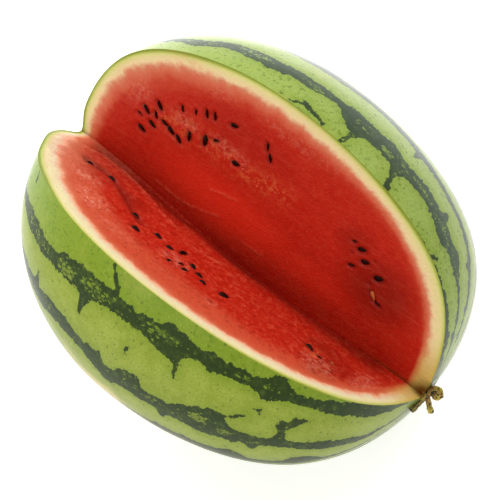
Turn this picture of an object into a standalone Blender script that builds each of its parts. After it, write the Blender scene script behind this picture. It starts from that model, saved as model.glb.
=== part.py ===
# A watermelon with a long wedge cut out of its top, lying on the small flat spot under its belly.
# The melon's length runs along X with the stem end at +X, and Z is up. The origin is on the flat
# spot, straight below the melon's widest section. Everything is in metres.

import math

import bmesh
import bpy
from mathutils import Matrix, Vector

MM = 0.001

# The uncut melon, measured from its widest section
HALF_WIDTH = 0.130
HALF_HEIGHT = 0.1207
STEM_END_LENGTH = 0.164
BLOSSOM_END_LENGTH = 0.133
END_FULLNESS = (0.082, 0.165)  # how much blunter the ends are than an ellipsoid's
BELLY_SIDEWAYS = -0.0023  # the belly's middle against the line through both ends
BELLY_DROP = 0.0042
FLAT_SPOT_DEPTH = 0.0020  # how far the belly is pressed flat where it lies

# The two knife cuts. A lean is from upright towards +Y, an offset is from the line through both
# ends, a skew is how far the offset changes per metre of length, and the open side is the sense in
# which the cut face looks along the cross product of +X and the way up the cut.
REAR_CUT = {"lean": math.radians(24.2), "offset": -0.0118, "skew": 0.0370, "open_side": 1}
FRONT_CUT = {"lean": math.radians(-48.4), "offset": -0.0039, "skew": -0.0236, "open_side": -1}
FOLD_SAG = 0.009  # how far the rear cut runs below the straight fold line where it is deepest
FOLD_SAG_MIDDLE = 0.028
FOLD_SAG_SPREAD = 0.080
LIP_START = 3.0  # how far up a cut the flesh starts to round off into the crease, in sags
LIP_TURN = 1.75  # how far up the cut the rounding is tightest, in sags

# Two soft pushes at the blossom end, on the notch where the cuts meet and on the front rim's corner
# beside it: the middle of each, its reach and how far it moves the surface there.
NOTCH_PUSHES = (
    ((-0.1316, -0.0151, 0.1373), 0.0100, (0.0035, 0.0002, -0.0020)),
    ((-0.1249, -0.0369, 0.1565), 0.0152, (-0.0020, -0.0002, 0.0009)),
)

# Mesh
LENGTH_STEPS = 40
GIRTH_STEPS = 40
CUT_STEPS = 6
LIP_STEPS = 4
END_CROWDING = 0.75  # how far the length steps draw together towards the ends, from 0 to 1
TRIM_STEPS = 80
MERGE = 1e-6

# Seeds and the clearance around every piece that sits in or on the melon
SEED_LENGTH = 0.0070
SEED_WIDTH = 0.0044
SEED_THICKNESS = 0.0022
SEED_SIDES = 6
SEED_RINGS = 5
SEED_POINTEDNESS = 0.30
CLEARANCE = 0.0003

# Each seed that shows: millimetres along the melon, millimetres up the cut from the fold, its turn
# in the cut in degrees, its roll about its own length in degrees (0 lies flat, 90 stands on edge)
# and its size against a full seed.
REAR_SEEDS = (
    (-82, 48, -34, 55, 1.0),
    (-86, 42, -5, 40, 0.7),
    (-73, 57, -41, 65, 1.0),
    (-74, 49, -60, 60, 0.8),
    (-82, 33, -14, 60, 1.0),
    (-75, 41, -24, 60, 0.95),
    (-66, 48, -12, 60, 0.85),
    (-60, 46, -27, 25, 0.95),
    (-53, 44, -37, 35, 0.9),
    (-56, 66, -60, 70, 0.7),
    (-46, 51, -80, 50, 1.0),
    (-34, 56, -84, 30, 1.1),
    (-26, 61, 24, 50, 0.75),
    (-38, 74, -66, 70, 0.85),
    (-32, 76, -66, 60, 0.8),
    (-17, 79, 17, 40, 0.85),
    (-8, 56, 10, 20, 0.85),
    (-46, 70, -72, 75, 0.6),
    (9, 81, -70, 60, 0.8),
    (13, 75, -60, 60, 0.85),
    (84, 63, 19, 65, 0.55),
    (90, 61, 23, 40, 0.9),
    (95, 55, 19, 15, 0.85),
    (88, 47, 20, 60, 0.7),
    (107, 51, 26, 20, 1.0),
    (108, 38, -52, 30, 0.95),
    (113, 35, -12, 60, 0.7),
)
FRONT_SEEDS = (
    (-92, 32, -31, 40, 0.75),
    (-74, 30, -10, 50, 0.85),
    (-36, 50, -13, 45, 0.8),
    (-24, 65, 0, 30, 0.9),
    (-14, 54, 5, 45, 0.85),
    (-2, 57, -13, 45, 0.8),
    (5, 51, -70, 60, 0.95),
    (8, 70, -56, 50, 0.6),
    (13, 64, -50, 50, 0.6),
    (18, 67, -36, 45, 0.7),
    (17, 57, 26, 35, 0.85),
    (25, 61, -14, 45, 0.8),
    (31, 65, -3, 45, 0.7),
    (45, 61, -40, 35, 0.95),
    (101, 45, 18, 65, 1.0),
    (110, 47, -30, 50, 0.6),
    (117, 43, 11, 55, 0.6),
)
SEED_SINK = 0.15  # how far a seed's middle lies below the cut, as a share of its height

# The dried stem: points in millimetres from where it leaves the melon, and radii
STEM_SIDEWAYS = -0.0040
STEM_DROP = 0.0040
STEM_KNOB = ((0.0, 0, 0, 4.4), (2.6, 0, 0, 3.2))
STEM_CURL = ((4.4, 3.9, 2.4, 1.8), (7.2, 4.4, 1.0, 1.7), (8.0, 2.6, -1.4, 1.5))
STEM_CUT_END = ((3.8, -2.4, -4.2, 1.5), (5.9, -3.9, -5.9, 1.6), (8.9, -6.2, -8.2, 1.6))
STEM_SIDE_END = ((0.9, -6.0, -0.4, 1.9), (1.0, -10.0, -0.5, 1.7), (1.1, -14.0, -1.9, 1.4))

POLE_SIDEWAYS = -BELLY_SIDEWAYS
POLE_HEIGHT = HALF_HEIGHT + BELLY_DROP - FLAT_SPOT_DEPTH


def make_material(name, colour, roughness):
    material = bpy.data.materials.new(name)
    material.use_nodes = True
    shader = material.node_tree.nodes["Principled BSDF"]
    shader.inputs["Base Color"].default_value = (*colour, 1.0)
    shader.inputs["Roughness"].default_value = roughness
    shader.inputs["Metallic"].default_value = 0.0
    return material


def add_object(name, mesh, material):
    part = bpy.data.objects.new(name, mesh)
    bpy.context.scene.collection.objects.link(part)
    mesh.materials.append(material)
    return part


def shade_round(mesh, angle=35):
    mesh.shade_smooth()
    mesh.set_sharp_from_angle(angle=math.radians(angle))


def section_at(latitude):
    """The section at a latitude, from -90 degrees at the blossom end to 90 at the stem end."""
    sine = math.sin(latitude)
    length = STEM_END_LENGTH if sine > 0 else BLOSSOM_END_LENGTH
    fullness = 1 + END_FULLNESS[0] * sine**2 + END_FULLNESS[1] * sine**4
    girth = math.cos(latitude) * fullness
    belly = 1 - sine**2
    middle = (
        POLE_SIDEWAYS + BELLY_SIDEWAYS * belly,
        POLE_HEIGHT - BELLY_DROP * belly,
    )
    return length * sine, middle, (HALF_WIDTH * girth, HALF_HEIGHT * girth)


def skin_point(latitude, turn, swell=0.0):
    """A point of the uncut skin, or a swell outside it. The turn goes from straight up towards +Y."""
    x, middle, radii = section_at(latitude)
    outward = swell * math.cos(latitude)
    y = middle[0] + (radii[0] + outward) * math.sin(turn)
    z = middle[1] + (radii[1] + outward) * math.cos(turn)
    return Vector((x + swell * math.sin(latitude), y, z))


def cut_offset(cut, x):
    return cut["offset"] + cut["skew"] * x


def fold_point(x):
    """Where the planes of the two cuts meet at x."""
    sine_r, cosine_r = math.sin(REAR_CUT["lean"]), math.cos(REAR_CUT["lean"])
    sine_f, cosine_f = math.sin(FRONT_CUT["lean"]), math.cos(FRONT_CUT["lean"])
    rear, front = cut_offset(REAR_CUT, x), cut_offset(FRONT_CUT, x)
    share = cosine_f * sine_r - cosine_r * sine_f
    y = (front * sine_r - rear * sine_f) / share
    z = (front * cosine_r - rear * cosine_f) / share
    return Vector((x, POLE_SIDEWAYS + y, POLE_HEIGHT + z))


def fold_sag(x):
    """How far the crease lies below the fold at x. It runs out to nothing at both ends."""
    spread = math.exp(-(((x - FOLD_SAG_MIDDLE) / FOLD_SAG_SPREAD) ** 2))
    end = x / (STEM_END_LENGTH if x > 0 else BLOSSOM_END_LENGTH)
    return FOLD_SAG * spread * (1 - end**8)


def way_up(cut):
    """The direction up a cut face, across the melon."""
    return Vector((0, math.sin(cut["lean"]), math.cos(cut["lean"])))


def rim_turn(latitude, cut):
    """The turn at which a cut leaves the skin, on the upper side."""
    x, middle, radii = section_at(latitude)
    sine, cosine = math.sin(cut["lean"]), math.cos(cut["lean"])
    shift = cosine * (middle[0] - POLE_SIDEWAYS) - sine * (middle[1] - POLE_HEIGHT)
    across, up = cosine * radii[0], sine * radii[1]
    ratio = (cut_offset(cut, x) - shift) / math.hypot(across, up)
    return math.atan2(up, across) + math.asin(max(-1.0, min(1.0, ratio)))


def fold_is_inside(latitude):
    x, middle, radii = section_at(latitude)
    fold = fold_point(x)
    return ((fold.y - middle[0]) / radii[0]) ** 2 + ((fold.z - middle[1]) / radii[1]) ** 2 < 1


def fold_end(sign):
    """The latitude at which the fold comes out of the skin, towards one end."""
    inside, outside = 0.0, sign * math.radians(89.9)
    for _ in range(50):
        middle = (inside + outside) / 2
        if fold_is_inside(middle):
            inside = middle
        else:
            outside = middle
    return inside


def open_latitudes(first, last):
    """Latitudes from one end of the fold to the other, closer together near the ends."""
    found = []
    for i in range(LENGTH_STEPS + 1):
        even = i / LENGTH_STEPS
        crowded = (1 - math.cos(math.pi * even)) / 2
        share = END_CROWDING * crowded + (1 - END_CROWDING) * even
        found.append(first + (last - first) * share)
    return found


def add_strips(shape, rows):
    """Quads between neighbouring rows of points."""
    grid = [[shape.verts.new(point) for point in row] for row in rows]
    for near, far in zip(grid, grid[1:]):
        for i in range(len(near) - 1):
            shape.faces.new((near[i], near[i + 1], far[i + 1], far[i]))
    return grid


def ring_of(latitude, start, finish):
    """The skin from the rear rim round under the belly to the front rim."""
    steps = range(GIRTH_STEPS + 1)
    return [skin_point(latitude, start + (finish - start) * i / GIRTH_STEPS) for i in steps]


def cut_row(latitude, cut):
    """A cut face at one latitude: flat from its rim on the skin, then rounding off into the crease."""
    rim = skin_point(latitude, rim_turn(latitude, cut))
    fold, sag = fold_point(rim.x), fold_sag(rim.x)
    lip = fold + LIP_START * sag * way_up(cut)
    corner = fold + LIP_TURN * sag * way_up(cut)
    crease = fold - sag * way_up(REAR_CUT)
    row = [rim.lerp(lip, i / CUT_STEPS) for i in range(CUT_STEPS)]
    for i in range(LIP_STEPS + 1):
        share = i / LIP_STEPS
        row.append(lip.lerp(corner, share).lerp(corner.lerp(crease, share), share))
    return row


def close_with_point(shape, ring, point):
    tip = shape.verts.new(point)
    for a, b in zip(ring, ring[1:]):
        shape.faces.new((a, b, tip))


def close_poles(shape, grid, swell=0.0):
    """Closes the blossom end, which the grid starts with, and the stem end."""
    close_with_point(shape, grid[0], skin_point(-math.pi / 2, 0, swell))
    close_with_point(shape, grid[-1], skin_point(math.pi / 2, 0, swell))


def finished_mesh(shape, name):
    bmesh.ops.recalc_face_normals(shape, faces=shape.faces)
    mesh = bpy.data.meshes.new(name)
    shape.to_mesh(mesh)
    shape.free()
    return mesh


def push_notch(shape):
    for middle, reach, move in NOTCH_PUSHES:
        for vertex in shape.verts:
            away = (vertex.co - Vector(middle)).length / reach
            vertex.co += math.exp(-away * away) * Vector(move)


def build_melon(material):
    first, last = fold_end(-1), fold_end(1)
    latitudes = open_latitudes(first, last)
    full_turn = 2 * math.pi
    shape = bmesh.new()

    rings = []
    for end, pole in ((first, -math.pi / 2), (last, math.pi / 2)):
        start = rim_turn(end, REAR_CUT)
        rings.append(ring_of((end + pole) / 2, start, start + full_turn))
    middle_rings = []
    for latitude in latitudes:
        start = rim_turn(latitude, REAR_CUT)
        finish = full_turn + rim_turn(latitude, FRONT_CUT)
        if latitude in (first, last):
            finish = start + full_turn
        middle_rings.append(ring_of(latitude, start, finish))
    close_poles(shape, add_strips(shape, [rings[0], *middle_rings, rings[1]]))

    for cut in (REAR_CUT, FRONT_CUT):
        rows = [cut_row(latitude, cut) for latitude in latitudes[1:-1]]
        ends = [[skin_point(end, rim_turn(end, REAR_CUT))] * len(rows[0]) for end in (first, last)]
        add_strips(shape, [ends[0], *rows, ends[1]])

    bmesh.ops.remove_doubles(shape, verts=shape.verts, dist=MERGE)
    bmesh.ops.dissolve_degenerate(shape, edges=shape.edges, dist=MERGE)
    push_notch(shape)
    everything = [*shape.verts, *shape.edges, *shape.faces]
    bmesh.ops.bisect_plane(
        shape, geom=everything, plane_co=(0, 0, 0), plane_no=(0, 0, -1), clear_outer=True
    )
    bmesh.ops.holes_fill(shape, edges=[edge for edge in shape.edges if edge.is_boundary])
    mesh = finished_mesh(shape, "melon_body")
    shade_round(mesh)
    for edge in mesh.edges:
        if all(abs(mesh.vertices[end].co.z) < MERGE for end in edge.vertices):
            edge.use_edge_sharp = True
    return add_object("melon_body", mesh, material)


def seed_mesh(name, growth=0.0):
    """A flat drop, lying along X with its point at +X and its thin way along Z."""
    half = [side / 2 + growth for side in (SEED_LENGTH, SEED_WIDTH, SEED_THICKNESS)]
    shape = bmesh.new()
    rows = []
    for i in range(1, SEED_RINGS + 1):
        angle = math.pi * i / (SEED_RINGS + 1)
        along = -math.cos(angle)
        wide = math.sin(angle) * (1 - SEED_POINTEDNESS * along)
        row = []
        for j in range(SEED_SIDES):
            turn = 2 * math.pi * j / SEED_SIDES
            row.append((half[0] * along, half[1] * wide * math.cos(turn), half[2] * wide * math.sin(turn)))
        rows.append([*row, row[0]])
    grid = add_strips(shape, rows)
    close_with_point(shape, grid[0], (-half[0], 0, 0))
    close_with_point(shape, grid[-1], (half[0], 0, 0))
    bmesh.ops.remove_doubles(shape, verts=shape.verts, dist=MERGE)
    mesh = finished_mesh(shape, name)
    mesh.shade_smooth()
    return mesh


def seed_place(cut, x, up, turn, roll):
    """Where a seed lies, from its place along the melon and up the cut face from the fold."""
    along, rimward = Vector((1, 0, 0)), way_up(cut)
    normal = along.cross(rimward)
    face = Matrix((along, rimward, normal)).transposed()
    lying = Matrix.Rotation(turn, 3, "Z") @ Matrix.Rotation(roll, 3, "X")
    height = math.hypot(SEED_WIDTH * math.sin(roll), SEED_THICKNESS * math.cos(roll))
    sunk = SEED_SINK * height * cut["open_side"]
    middle = fold_point(x) + up * rimward - sunk * normal
    return Matrix.Translation(middle) @ (face @ lying).to_4x4()


def add_seeds(melon, seed_material):
    """The seeds that show in the cuts, each in its own pocket."""
    seed_shape, pocket_shape = seed_mesh("seed"), seed_mesh("seed_pocket", CLEARANCE)
    seed_shape.materials.append(seed_material)
    pockets = bpy.data.collections.new("seed_pockets")
    bpy.context.scene.collection.children.link(pockets)
    for face, cut, seeds in (("rear", REAR_CUT, REAR_SEEDS), ("front", FRONT_CUT, FRONT_SEEDS)):
        for number, (x, up, turn, roll, size) in enumerate(seeds, 1):
            place = seed_place(cut, x * MM, up * MM, math.radians(turn), math.radians(roll))
            place = place @ Matrix.Scale(size, 4)
            seed = bpy.data.objects.new(f"seed_{face}_{number:02d}", seed_shape)
            bpy.context.scene.collection.objects.link(seed)
            seed.matrix_world = place
            pocket = bpy.data.objects.new(f"pocket_{face}_{number:02d}", pocket_shape)
            pockets.objects.link(pocket)
            pocket.matrix_world = place
            pocket.hide_render = True
            pocket.display_type = "WIRE"
    hollow = melon.modifiers.new("seed pockets", "BOOLEAN")
    hollow.operand_type = "COLLECTION"
    hollow.collection = pockets
    hollow.operation = "DIFFERENCE"
    hollow.solver = "EXACT"


def melon_outside(swell):
    """The whole uncut melon, a little larger all over, to trim what is set on the skin."""
    shape = bmesh.new()
    rows = []
    for i in range(1, TRIM_STEPS):
        latitude = math.pi * (i / TRIM_STEPS - 0.5)
        turns = (2 * math.pi * j / TRIM_STEPS for j in range(TRIM_STEPS + 1))
        rows.append([skin_point(latitude, turn, swell) for turn in turns])
    close_poles(shape, add_strips(shape, rows), swell)
    bmesh.ops.remove_doubles(shape, verts=shape.verts, dist=MERGE)
    trimmer = bpy.data.objects.new("melon_outside", finished_mesh(shape, "melon_outside"))
    bpy.context.scene.collection.objects.link(trimmer)
    trimmer.hide_render = True
    trimmer.display_type = "WIRE"
    return trimmer


def build_stem(material):
    """The dried stem: a knob on the melon's end with three short stubs of vine."""
    shape = bmesh.new()
    radius = shape.verts.layers.skin.new("")
    base = Vector((STEM_END_LENGTH, POLE_SIDEWAYS + STEM_SIDEWAYS, POLE_HEIGHT - STEM_DROP))

    def add_run(points, start=None):
        last = start
        for x, y, z, thick in points:
            vertex = shape.verts.new(base + Vector((x, y, z)) * MM)
            vertex[radius].radius = (thick * MM, thick * MM)
            if last:
                shape.edges.new((last, vertex))
            last = vertex
        return last

    knob = add_run(STEM_KNOB)
    for run in (STEM_CURL, STEM_CUT_END, STEM_SIDE_END):
        add_run(run, knob)
    shape.verts.ensure_lookup_table()
    shape.verts[0][radius].use_root = True
    mesh = bpy.data.meshes.new("stem")
    shape.to_mesh(mesh)
    shape.free()
    stem = add_object("stem", mesh, material)
    skin = stem.modifiers.new("thickness", "SKIN")
    skin.use_smooth_shade = True
    smooth = stem.modifiers.new("rounding", "SUBSURF")
    smooth.levels = smooth.render_levels = 1
    trim = stem.modifiers.new("seat on the skin", "BOOLEAN")
    trim.object = melon_outside(CLEARANCE)
    trim.operation = "DIFFERENCE"
    trim.solver = "EXACT"
    return stem


def main():
    for leftover in list(bpy.data.objects):
        bpy.data.objects.remove(leftover, do_unlink=True)
    melon = build_melon(make_material("melon", (0.36, 0.47, 0.10), 0.42))
    add_seeds(melon, make_material("seed", (0.02, 0.008, 0.005), 0.3))
    build_stem(make_material("dried_stem", (0.36, 0.25, 0.07), 0.8))


main()
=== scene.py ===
# A watermelon with a long wedge cut out of its top, its dried stem still on it.
# Metres, +Z up, the melon's length along X with the stem at +X.

import math

import bpy
import numpy as np
from mathutils import Matrix, Vector, noise
from mathutils.bvhtree import BVHTree


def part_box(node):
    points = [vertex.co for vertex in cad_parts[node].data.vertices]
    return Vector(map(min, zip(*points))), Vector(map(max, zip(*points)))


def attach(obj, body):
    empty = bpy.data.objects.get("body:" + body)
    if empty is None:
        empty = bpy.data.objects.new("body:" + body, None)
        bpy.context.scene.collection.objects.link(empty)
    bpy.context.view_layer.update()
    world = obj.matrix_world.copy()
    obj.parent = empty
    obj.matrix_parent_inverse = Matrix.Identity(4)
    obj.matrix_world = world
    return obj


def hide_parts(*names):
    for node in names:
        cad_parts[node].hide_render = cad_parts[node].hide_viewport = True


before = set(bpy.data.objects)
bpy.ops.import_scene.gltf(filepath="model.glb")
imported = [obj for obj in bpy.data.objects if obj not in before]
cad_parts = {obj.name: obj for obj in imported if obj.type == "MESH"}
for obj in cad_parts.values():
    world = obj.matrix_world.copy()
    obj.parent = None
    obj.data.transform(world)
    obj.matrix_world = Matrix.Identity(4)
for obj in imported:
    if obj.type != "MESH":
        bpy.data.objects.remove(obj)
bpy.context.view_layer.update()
mm = 0.001
print("frame loaded:", len(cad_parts), "nodes")

# The shape of the melon and of its two knife cuts, as in the solids
melon = {
    "halfWidth": 0.130,
    "halfHeight": 0.1207,
    "stemEndLength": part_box("melon_body")[1].x,
    "blossomEndLength": -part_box("melon_body")[0].x,
    "endFullness": (0.082, 0.165),
    "bellySideways": -0.0023,
    "bellyDrop": 0.0042,
    "flatSpotDepth": 0.0020,
    "stations": 272,
    "skinColumns": 118,
    "cutColumns": 116,
    "endRings": 14,
    "pathSteps": 3000,
    "halvings": 50,
    "lipSteps": 24,
    "depthSteps": 180,
    "sharpAngle": 55,
}
poleSideways = -melon["bellySideways"]
poleHeight = melon["halfHeight"] + melon["bellyDrop"] - melon["flatSpotDepth"]
blossomTip = (-melon["blossomEndLength"], poleSideways, poleHeight)
rearCut = {"name": "rear", "lean": math.radians(24.2), "offset": -0.0118, "skew": 0.0370, "openSide": 1}
frontCut = {"name": "front", "lean": math.radians(-48.4), "offset": -0.0039, "skew": -0.0236, "openSide": -1}
crease = {"sag": 0.009, "middle": 0.028, "spread": 0.080, "lipStart": 3.0, "lipTurn": 1.75}
ends = {
    "stemBase": (melon["stemEndLength"], -0.004, -0.004),
    "stemDent": 1.1,  # in millimetres from here on
    "stemDentWidth": 6.0,
    "stemCollar": 0.6,
    "stemCollarRadius": 9.5,
    "stemCollarWidth": 3.0,
    "blossomDent": 0.5,
    "blossomRadius": 4.2,
    "blossomWidth": 1.4,
    # soft pushes on the notch where the cuts meet and on the rim's corner: middle, reach and move
    "pushes": [((-131.6, -15.1, 137.3), 10.0, (3.5, 0.2, -2.0)),
               ((-124.9, -36.9, 156.5), 15.2, (-2.0, -0.2, 0.9))],
}


def stemBase():
    x, y, z = ends["stemBase"]
    return np.array([x, poleSideways + y, poleHeight + z])


def srgb(red, green, blue):
    # a colour as picked on screen, 0 to 255, in the linear numbers that the shaders take
    shares = [value / 255 for value in (red, green, blue)]
    return (*(s / 12.92 if s <= 0.04045 else ((s + 0.055) / 1.055) ** 2.4 for s in shares), 1.0)


def ramp(value, low, high):
    share = np.clip((value - low) / (high - low), 0.0, 1.0)
    return share * share * (3 - 2 * share)


def bell(value, width):
    return np.exp(-((value / width) ** 2))


# Node helpers, for shader and geometry trees alike. A Flow is a node's output to calculate with: it can be
# added, subtracted, multiplied and divided, and each of these makes a Math node.


def mathWays(operation):
    return lambda one, other: calc(operation, one, other), lambda one, other: calc(operation, other, one)


class Flow:
    __add__, __radd__ = mathWays("ADD")
    __sub__, __rsub__ = mathWays("SUBTRACT")
    __mul__, __rmul__ = mathWays("MULTIPLY")
    __truediv__, __rtruediv__ = mathWays("DIVIDE")

    def __init__(self, socket):
        self.socket = socket
        self.tree = socket.id_data


def wire(socket, value):
    if isinstance(value, Flow):
        value.tree.links.new(value.socket, socket)
    else:
        socket.default_value = value


def addNode(kind, values, tree=None, **settings):
    # one node in the tree of the first Flow among its values, which go by number or by name, without
    # the spaces in it; what comes back is a Flow for each output
    tree = tree or next(value.tree for value in values.values() if isinstance(value, Flow))
    node = tree.nodes.new(kind)
    for name, value in settings.items():
        setattr(node, name, value)
    for number, socket in enumerate(node.inputs):
        name = socket.name.replace(" ", "")
        if number in values:
            wire(socket, values[number])
        elif name in values and socket.enabled:
            wire(socket, values[name])
    return [Flow(socket) for socket in node.outputs]


def calc(operation, *values, clamp=False):
    return addNode("ShaderNodeMath", dict(enumerate(values)), operation=operation, use_clamp=clamp)[0]


def vectorCalc(operation, first, second=None):
    values = {0: first}
    if second is not None:
        values[3 if operation == "SCALE" else 1] = second
    made = addNode("ShaderNodeVectorMath", values, operation=operation)
    return made[1 if operation in ("DOT_PRODUCT", "LENGTH", "DISTANCE") else 0]


def split(vector):
    return addNode("ShaderNodeSeparateXYZ", {0: vector})


def join(x, y, z=0.0):
    return addNode("ShaderNodeCombineXYZ", {0: x, 1: y, 2: z})[0]


def rescale(value, low, high, toLow=0.0, toHigh=1.0):
    values = dict(enumerate((value, low, high, toLow, toHigh)))
    return addNode("ShaderNodeMapRange", values, interpolation_type="SMOOTHSTEP")[0]


def tint(share, first, second):
    return addNode("ShaderNodeMix", {0: share, 6: first, 7: second}, data_type="RGBA")[2]


def layered(colour, colours, *layers):
    # lays colours over a first one, each by its share
    for share, name in layers:
        colour = tint(share, colour, colours[name])
    return colour


def grain(vector, size, detail=2.0, roughness=0.55, seed=0.0):
    values = {"Vector": vector, "W": seed, "Scale": 1 / size, "Detail": detail, "Roughness": roughness}
    return addNode("ShaderNodeTexNoise", values, noise_dimensions="4D")[0]


def wander(vector, reach, *noiseValues):
    # a noise from minus to plus this reach
    return grain(vector, *noiseValues) * (2 * reach) - reach


def cells(vector, size, feature="F1", seed=0.0):
    values = {"Vector": vector, "W": seed, "Scale": 1 / size}
    return addNode("ShaderNodeTexVoronoi", values, voronoi_dimensions="4D", feature=feature)[0]


def drawnLine(value, points):
    # a line drawn through (value, result) pairs, both from 0 to 1
    made = addNode("ShaderNodeFloatCurve", {"Value": value})[0]
    mapping = made.socket.node.mapping
    line = mapping.curves[0]
    line.points[0].location, line.points[1].location = points[0], points[-1]
    for place in points[1:-1]:
        line.points.new(*place)
    for point in line.points:
        point.handle_type = "AUTO_CLAMPED"
    mapping.update()
    return made


def stops(value, colours):
    # a colour for each value, from (value, colour) pairs in order
    first, last = colours[0][0], colours[-1][0]
    made = addNode("ShaderNodeValToRGB", {0: calc("DIVIDE", value - first, last - first, clamp=True)})[0]
    bar = made.socket.node.color_ramp
    bar.elements[0].color, bar.elements[1].color = colours[0][1], colours[-1][1]
    for place, colour in colours[1:-1]:
        bar.elements.new((place - first) / (last - first)).color = colour
    return made


def jiggled(vector, size, reach):
    # the same place pushed about by a noise
    colour = addNode("ShaderNodeTexNoise", {"Vector": vector, "Scale": 1 / size})[1]
    push = vectorCalc("SUBTRACT", colour, (0.5, 0.5, 0.5))
    return vectorCalc("ADD", vector, vectorCalc("SCALE", push, reach))


def meshValue(place, name, output=2):
    # what the mesh holds at this place; output 1 is for a vector
    return addNode("ShaderNodeAttribute", {}, place.tree, attribute_name=name)[output]


def newGroup(name, inputs, output, kind="ShaderNodeTree"):
    # a node group with named inputs, the Flows of these, and its one output's socket
    tree = bpy.data.node_groups.new(name, kind)
    for socket, form, value in inputs:
        made = tree.interface.new_socket(socket, in_out="INPUT", socket_type="NodeSocket" + form)
        if value is not None:
            made.default_value = value
    tree.interface.new_socket(output[0], in_out="OUTPUT", socket_type="NodeSocket" + output[1])
    given = {flow.socket.name: flow for flow in addNode("NodeGroupInput", {}, tree)}
    return tree, given, tree.nodes.new("NodeGroupOutput").inputs[0]


def placeGroup(group, **values):
    return addNode("ShaderNodeGroup", values, node_tree=group)[0]


def newMaterial(name):
    material = bpy.data.materials.new(name)
    material.use_nodes = True
    place = addNode("ShaderNodeTexCoord", {}, material.node_tree)[3]
    return material, material.node_tree.nodes["Principled BSDF"].inputs, place


def setSurface(shader, values):
    for name, value in values.items():
        wire(shader[name], value)


def addBump(shader, height, distance):
    wire(shader["Normal"], addNode("ShaderNodeBump", {"Height": height, "Distance": distance})[0])


# Effects that several materials use


def buildMottle():
    # soft blotches with finer ones inside them
    tree, given, made = newGroup(
        "mottle",
        [("Vector", "Vector", None), ("Size", "Float", 0.01), ("Fineness", "Float", 4.0),
         ("Contrast", "Float", 1.0)],
        ("Value", "Float"),
    )
    scale = 1.0 / given["Size"]
    layers = []
    for share, size in ((0.6, scale), (0.4, scale * given["Fineness"])):
        layers.append(addNode("ShaderNodeTexNoise", {"Vector": given["Vector"], "Scale": size})[0] * share)
    centred = layers[0] + layers[1] - 0.5
    wire(made, calc("ADD", centred * (given["Contrast"] * 2.5), 0.5, clamp=True))
    return tree


def buildSpecks():
    # scattered small spots: only some of the cells hold one
    tree, given, made = newGroup(
        "specks",
        [("Vector", "Vector", None), ("Spacing", "Float", 0.01), ("Radius", "Float", 0.001),
         ("Share", "Float", 0.3)],
        ("Value", "Float"),
    )
    values = {"Vector": given["Vector"], "Scale": 1.0 / given["Spacing"]}
    distance, colour = addNode("ShaderNodeTexVoronoi", values)[:2]
    pick, bigger, _ = split(colour)
    chosen = calc("LESS_THAN", pick, given["Share"])
    reach = given["Radius"] / given["Spacing"] * (bigger + 0.5)
    wire(made, rescale(distance, reach * 0.6, reach, 1.0, 0.0) * chosen)
    return tree


mottle = buildMottle()
specks = buildSpecks()


# The melon's form


def sectionAt(latitude):
    # the section at a latitude, from -90 degrees at the blossom end to 90 at the stem end
    sine = np.sin(latitude)
    length = np.where(sine > 0, melon["stemEndLength"], melon["blossomEndLength"])
    fullness = 1 + melon["endFullness"][0] * sine**2 + melon["endFullness"][1] * sine**4
    girth = np.cos(latitude) * fullness
    belly = 1 - sine**2
    middleY = poleSideways + melon["bellySideways"] * belly
    middleZ = poleHeight - melon["bellyDrop"] * belly
    return length * sine, middleY, middleZ, melon["halfWidth"] * girth, melon["halfHeight"] * girth


def skinPoints(latitude, turn):
    # points of the uncut skin; the turn goes from straight up towards +Y
    x, middleY, middleZ, radiusY, radiusZ = sectionAt(latitude)
    y = middleY + radiusY * np.sin(turn)
    z = middleZ + radiusZ * np.cos(turn)
    return np.stack([x + 0 * y, y, z], axis=-1)


def cutOffset(cut, x):
    return cut["offset"] + cut["skew"] * x


def wayUp(cut):
    return np.array([math.sin(cut["lean"]), math.cos(cut["lean"])])


def wayOut(cut):
    # the way that the cut face looks
    return np.array([-math.cos(cut["lean"]), math.sin(cut["lean"])]) * cut["openSide"]


def foldAt(x):
    # where the two cuts meet, as (y, z)
    (sineR, cosineR), (sineF, cosineF) = wayUp(rearCut), wayUp(frontCut)
    rear, front = cutOffset(rearCut, x), cutOffset(frontCut, x)
    share = cosineF * sineR - cosineR * sineF
    y = (front * sineR - rear * sineF) / share
    z = (front * cosineR - rear * cosineF) / share
    return np.stack([poleSideways + y, poleHeight + z], axis=-1)


def sagAt(x):
    end = x / np.where(x > 0, melon["stemEndLength"], melon["blossomEndLength"])
    return crease["sag"] * bell(x - crease["middle"], crease["spread"]) * (1 - end**8)


def rimTurn(latitude, cut):
    # the turn at which a cut leaves the skin
    x, middleY, middleZ, radiusY, radiusZ = sectionAt(latitude)
    sine, cosine = wayUp(cut)
    shift = cosine * (middleY - poleSideways) - sine * (middleZ - poleHeight)
    across, up = cosine * radiusY, sine * radiusZ
    ratio = (cutOffset(cut, x) - shift) / np.hypot(across, up)
    return np.arctan2(up, across) + np.arcsin(np.clip(ratio, -1.0, 1.0))


def foldEnd(sign):
    # the latitude at which the fold comes out of the skin
    inside, outside = 0.0, sign * math.radians(89.9)
    for _ in range(melon["halvings"]):
        middle = (inside + outside) / 2
        x, middleY, middleZ, radiusY, radiusZ = sectionAt(middle)
        y, z = foldAt(x)
        if ((y - middleY) / radiusY) ** 2 + ((z - middleZ) / radiusZ) ** 2 < 1:
            inside = middle
        else:
            outside = middle
    return inside


def stationLatitudes(first, last):
    # even steps along the skin from one end of the fold to the other
    fine = np.linspace(first, last, melon["pathSteps"])
    x, _, _, _, radius = sectionAt(fine)
    travelled = np.concatenate([[0], np.cumsum(np.hypot(np.diff(x), np.diff(radius)))])
    return np.interp(np.linspace(0, travelled[-1], melon["stations"] + 1), travelled, fine)


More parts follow.
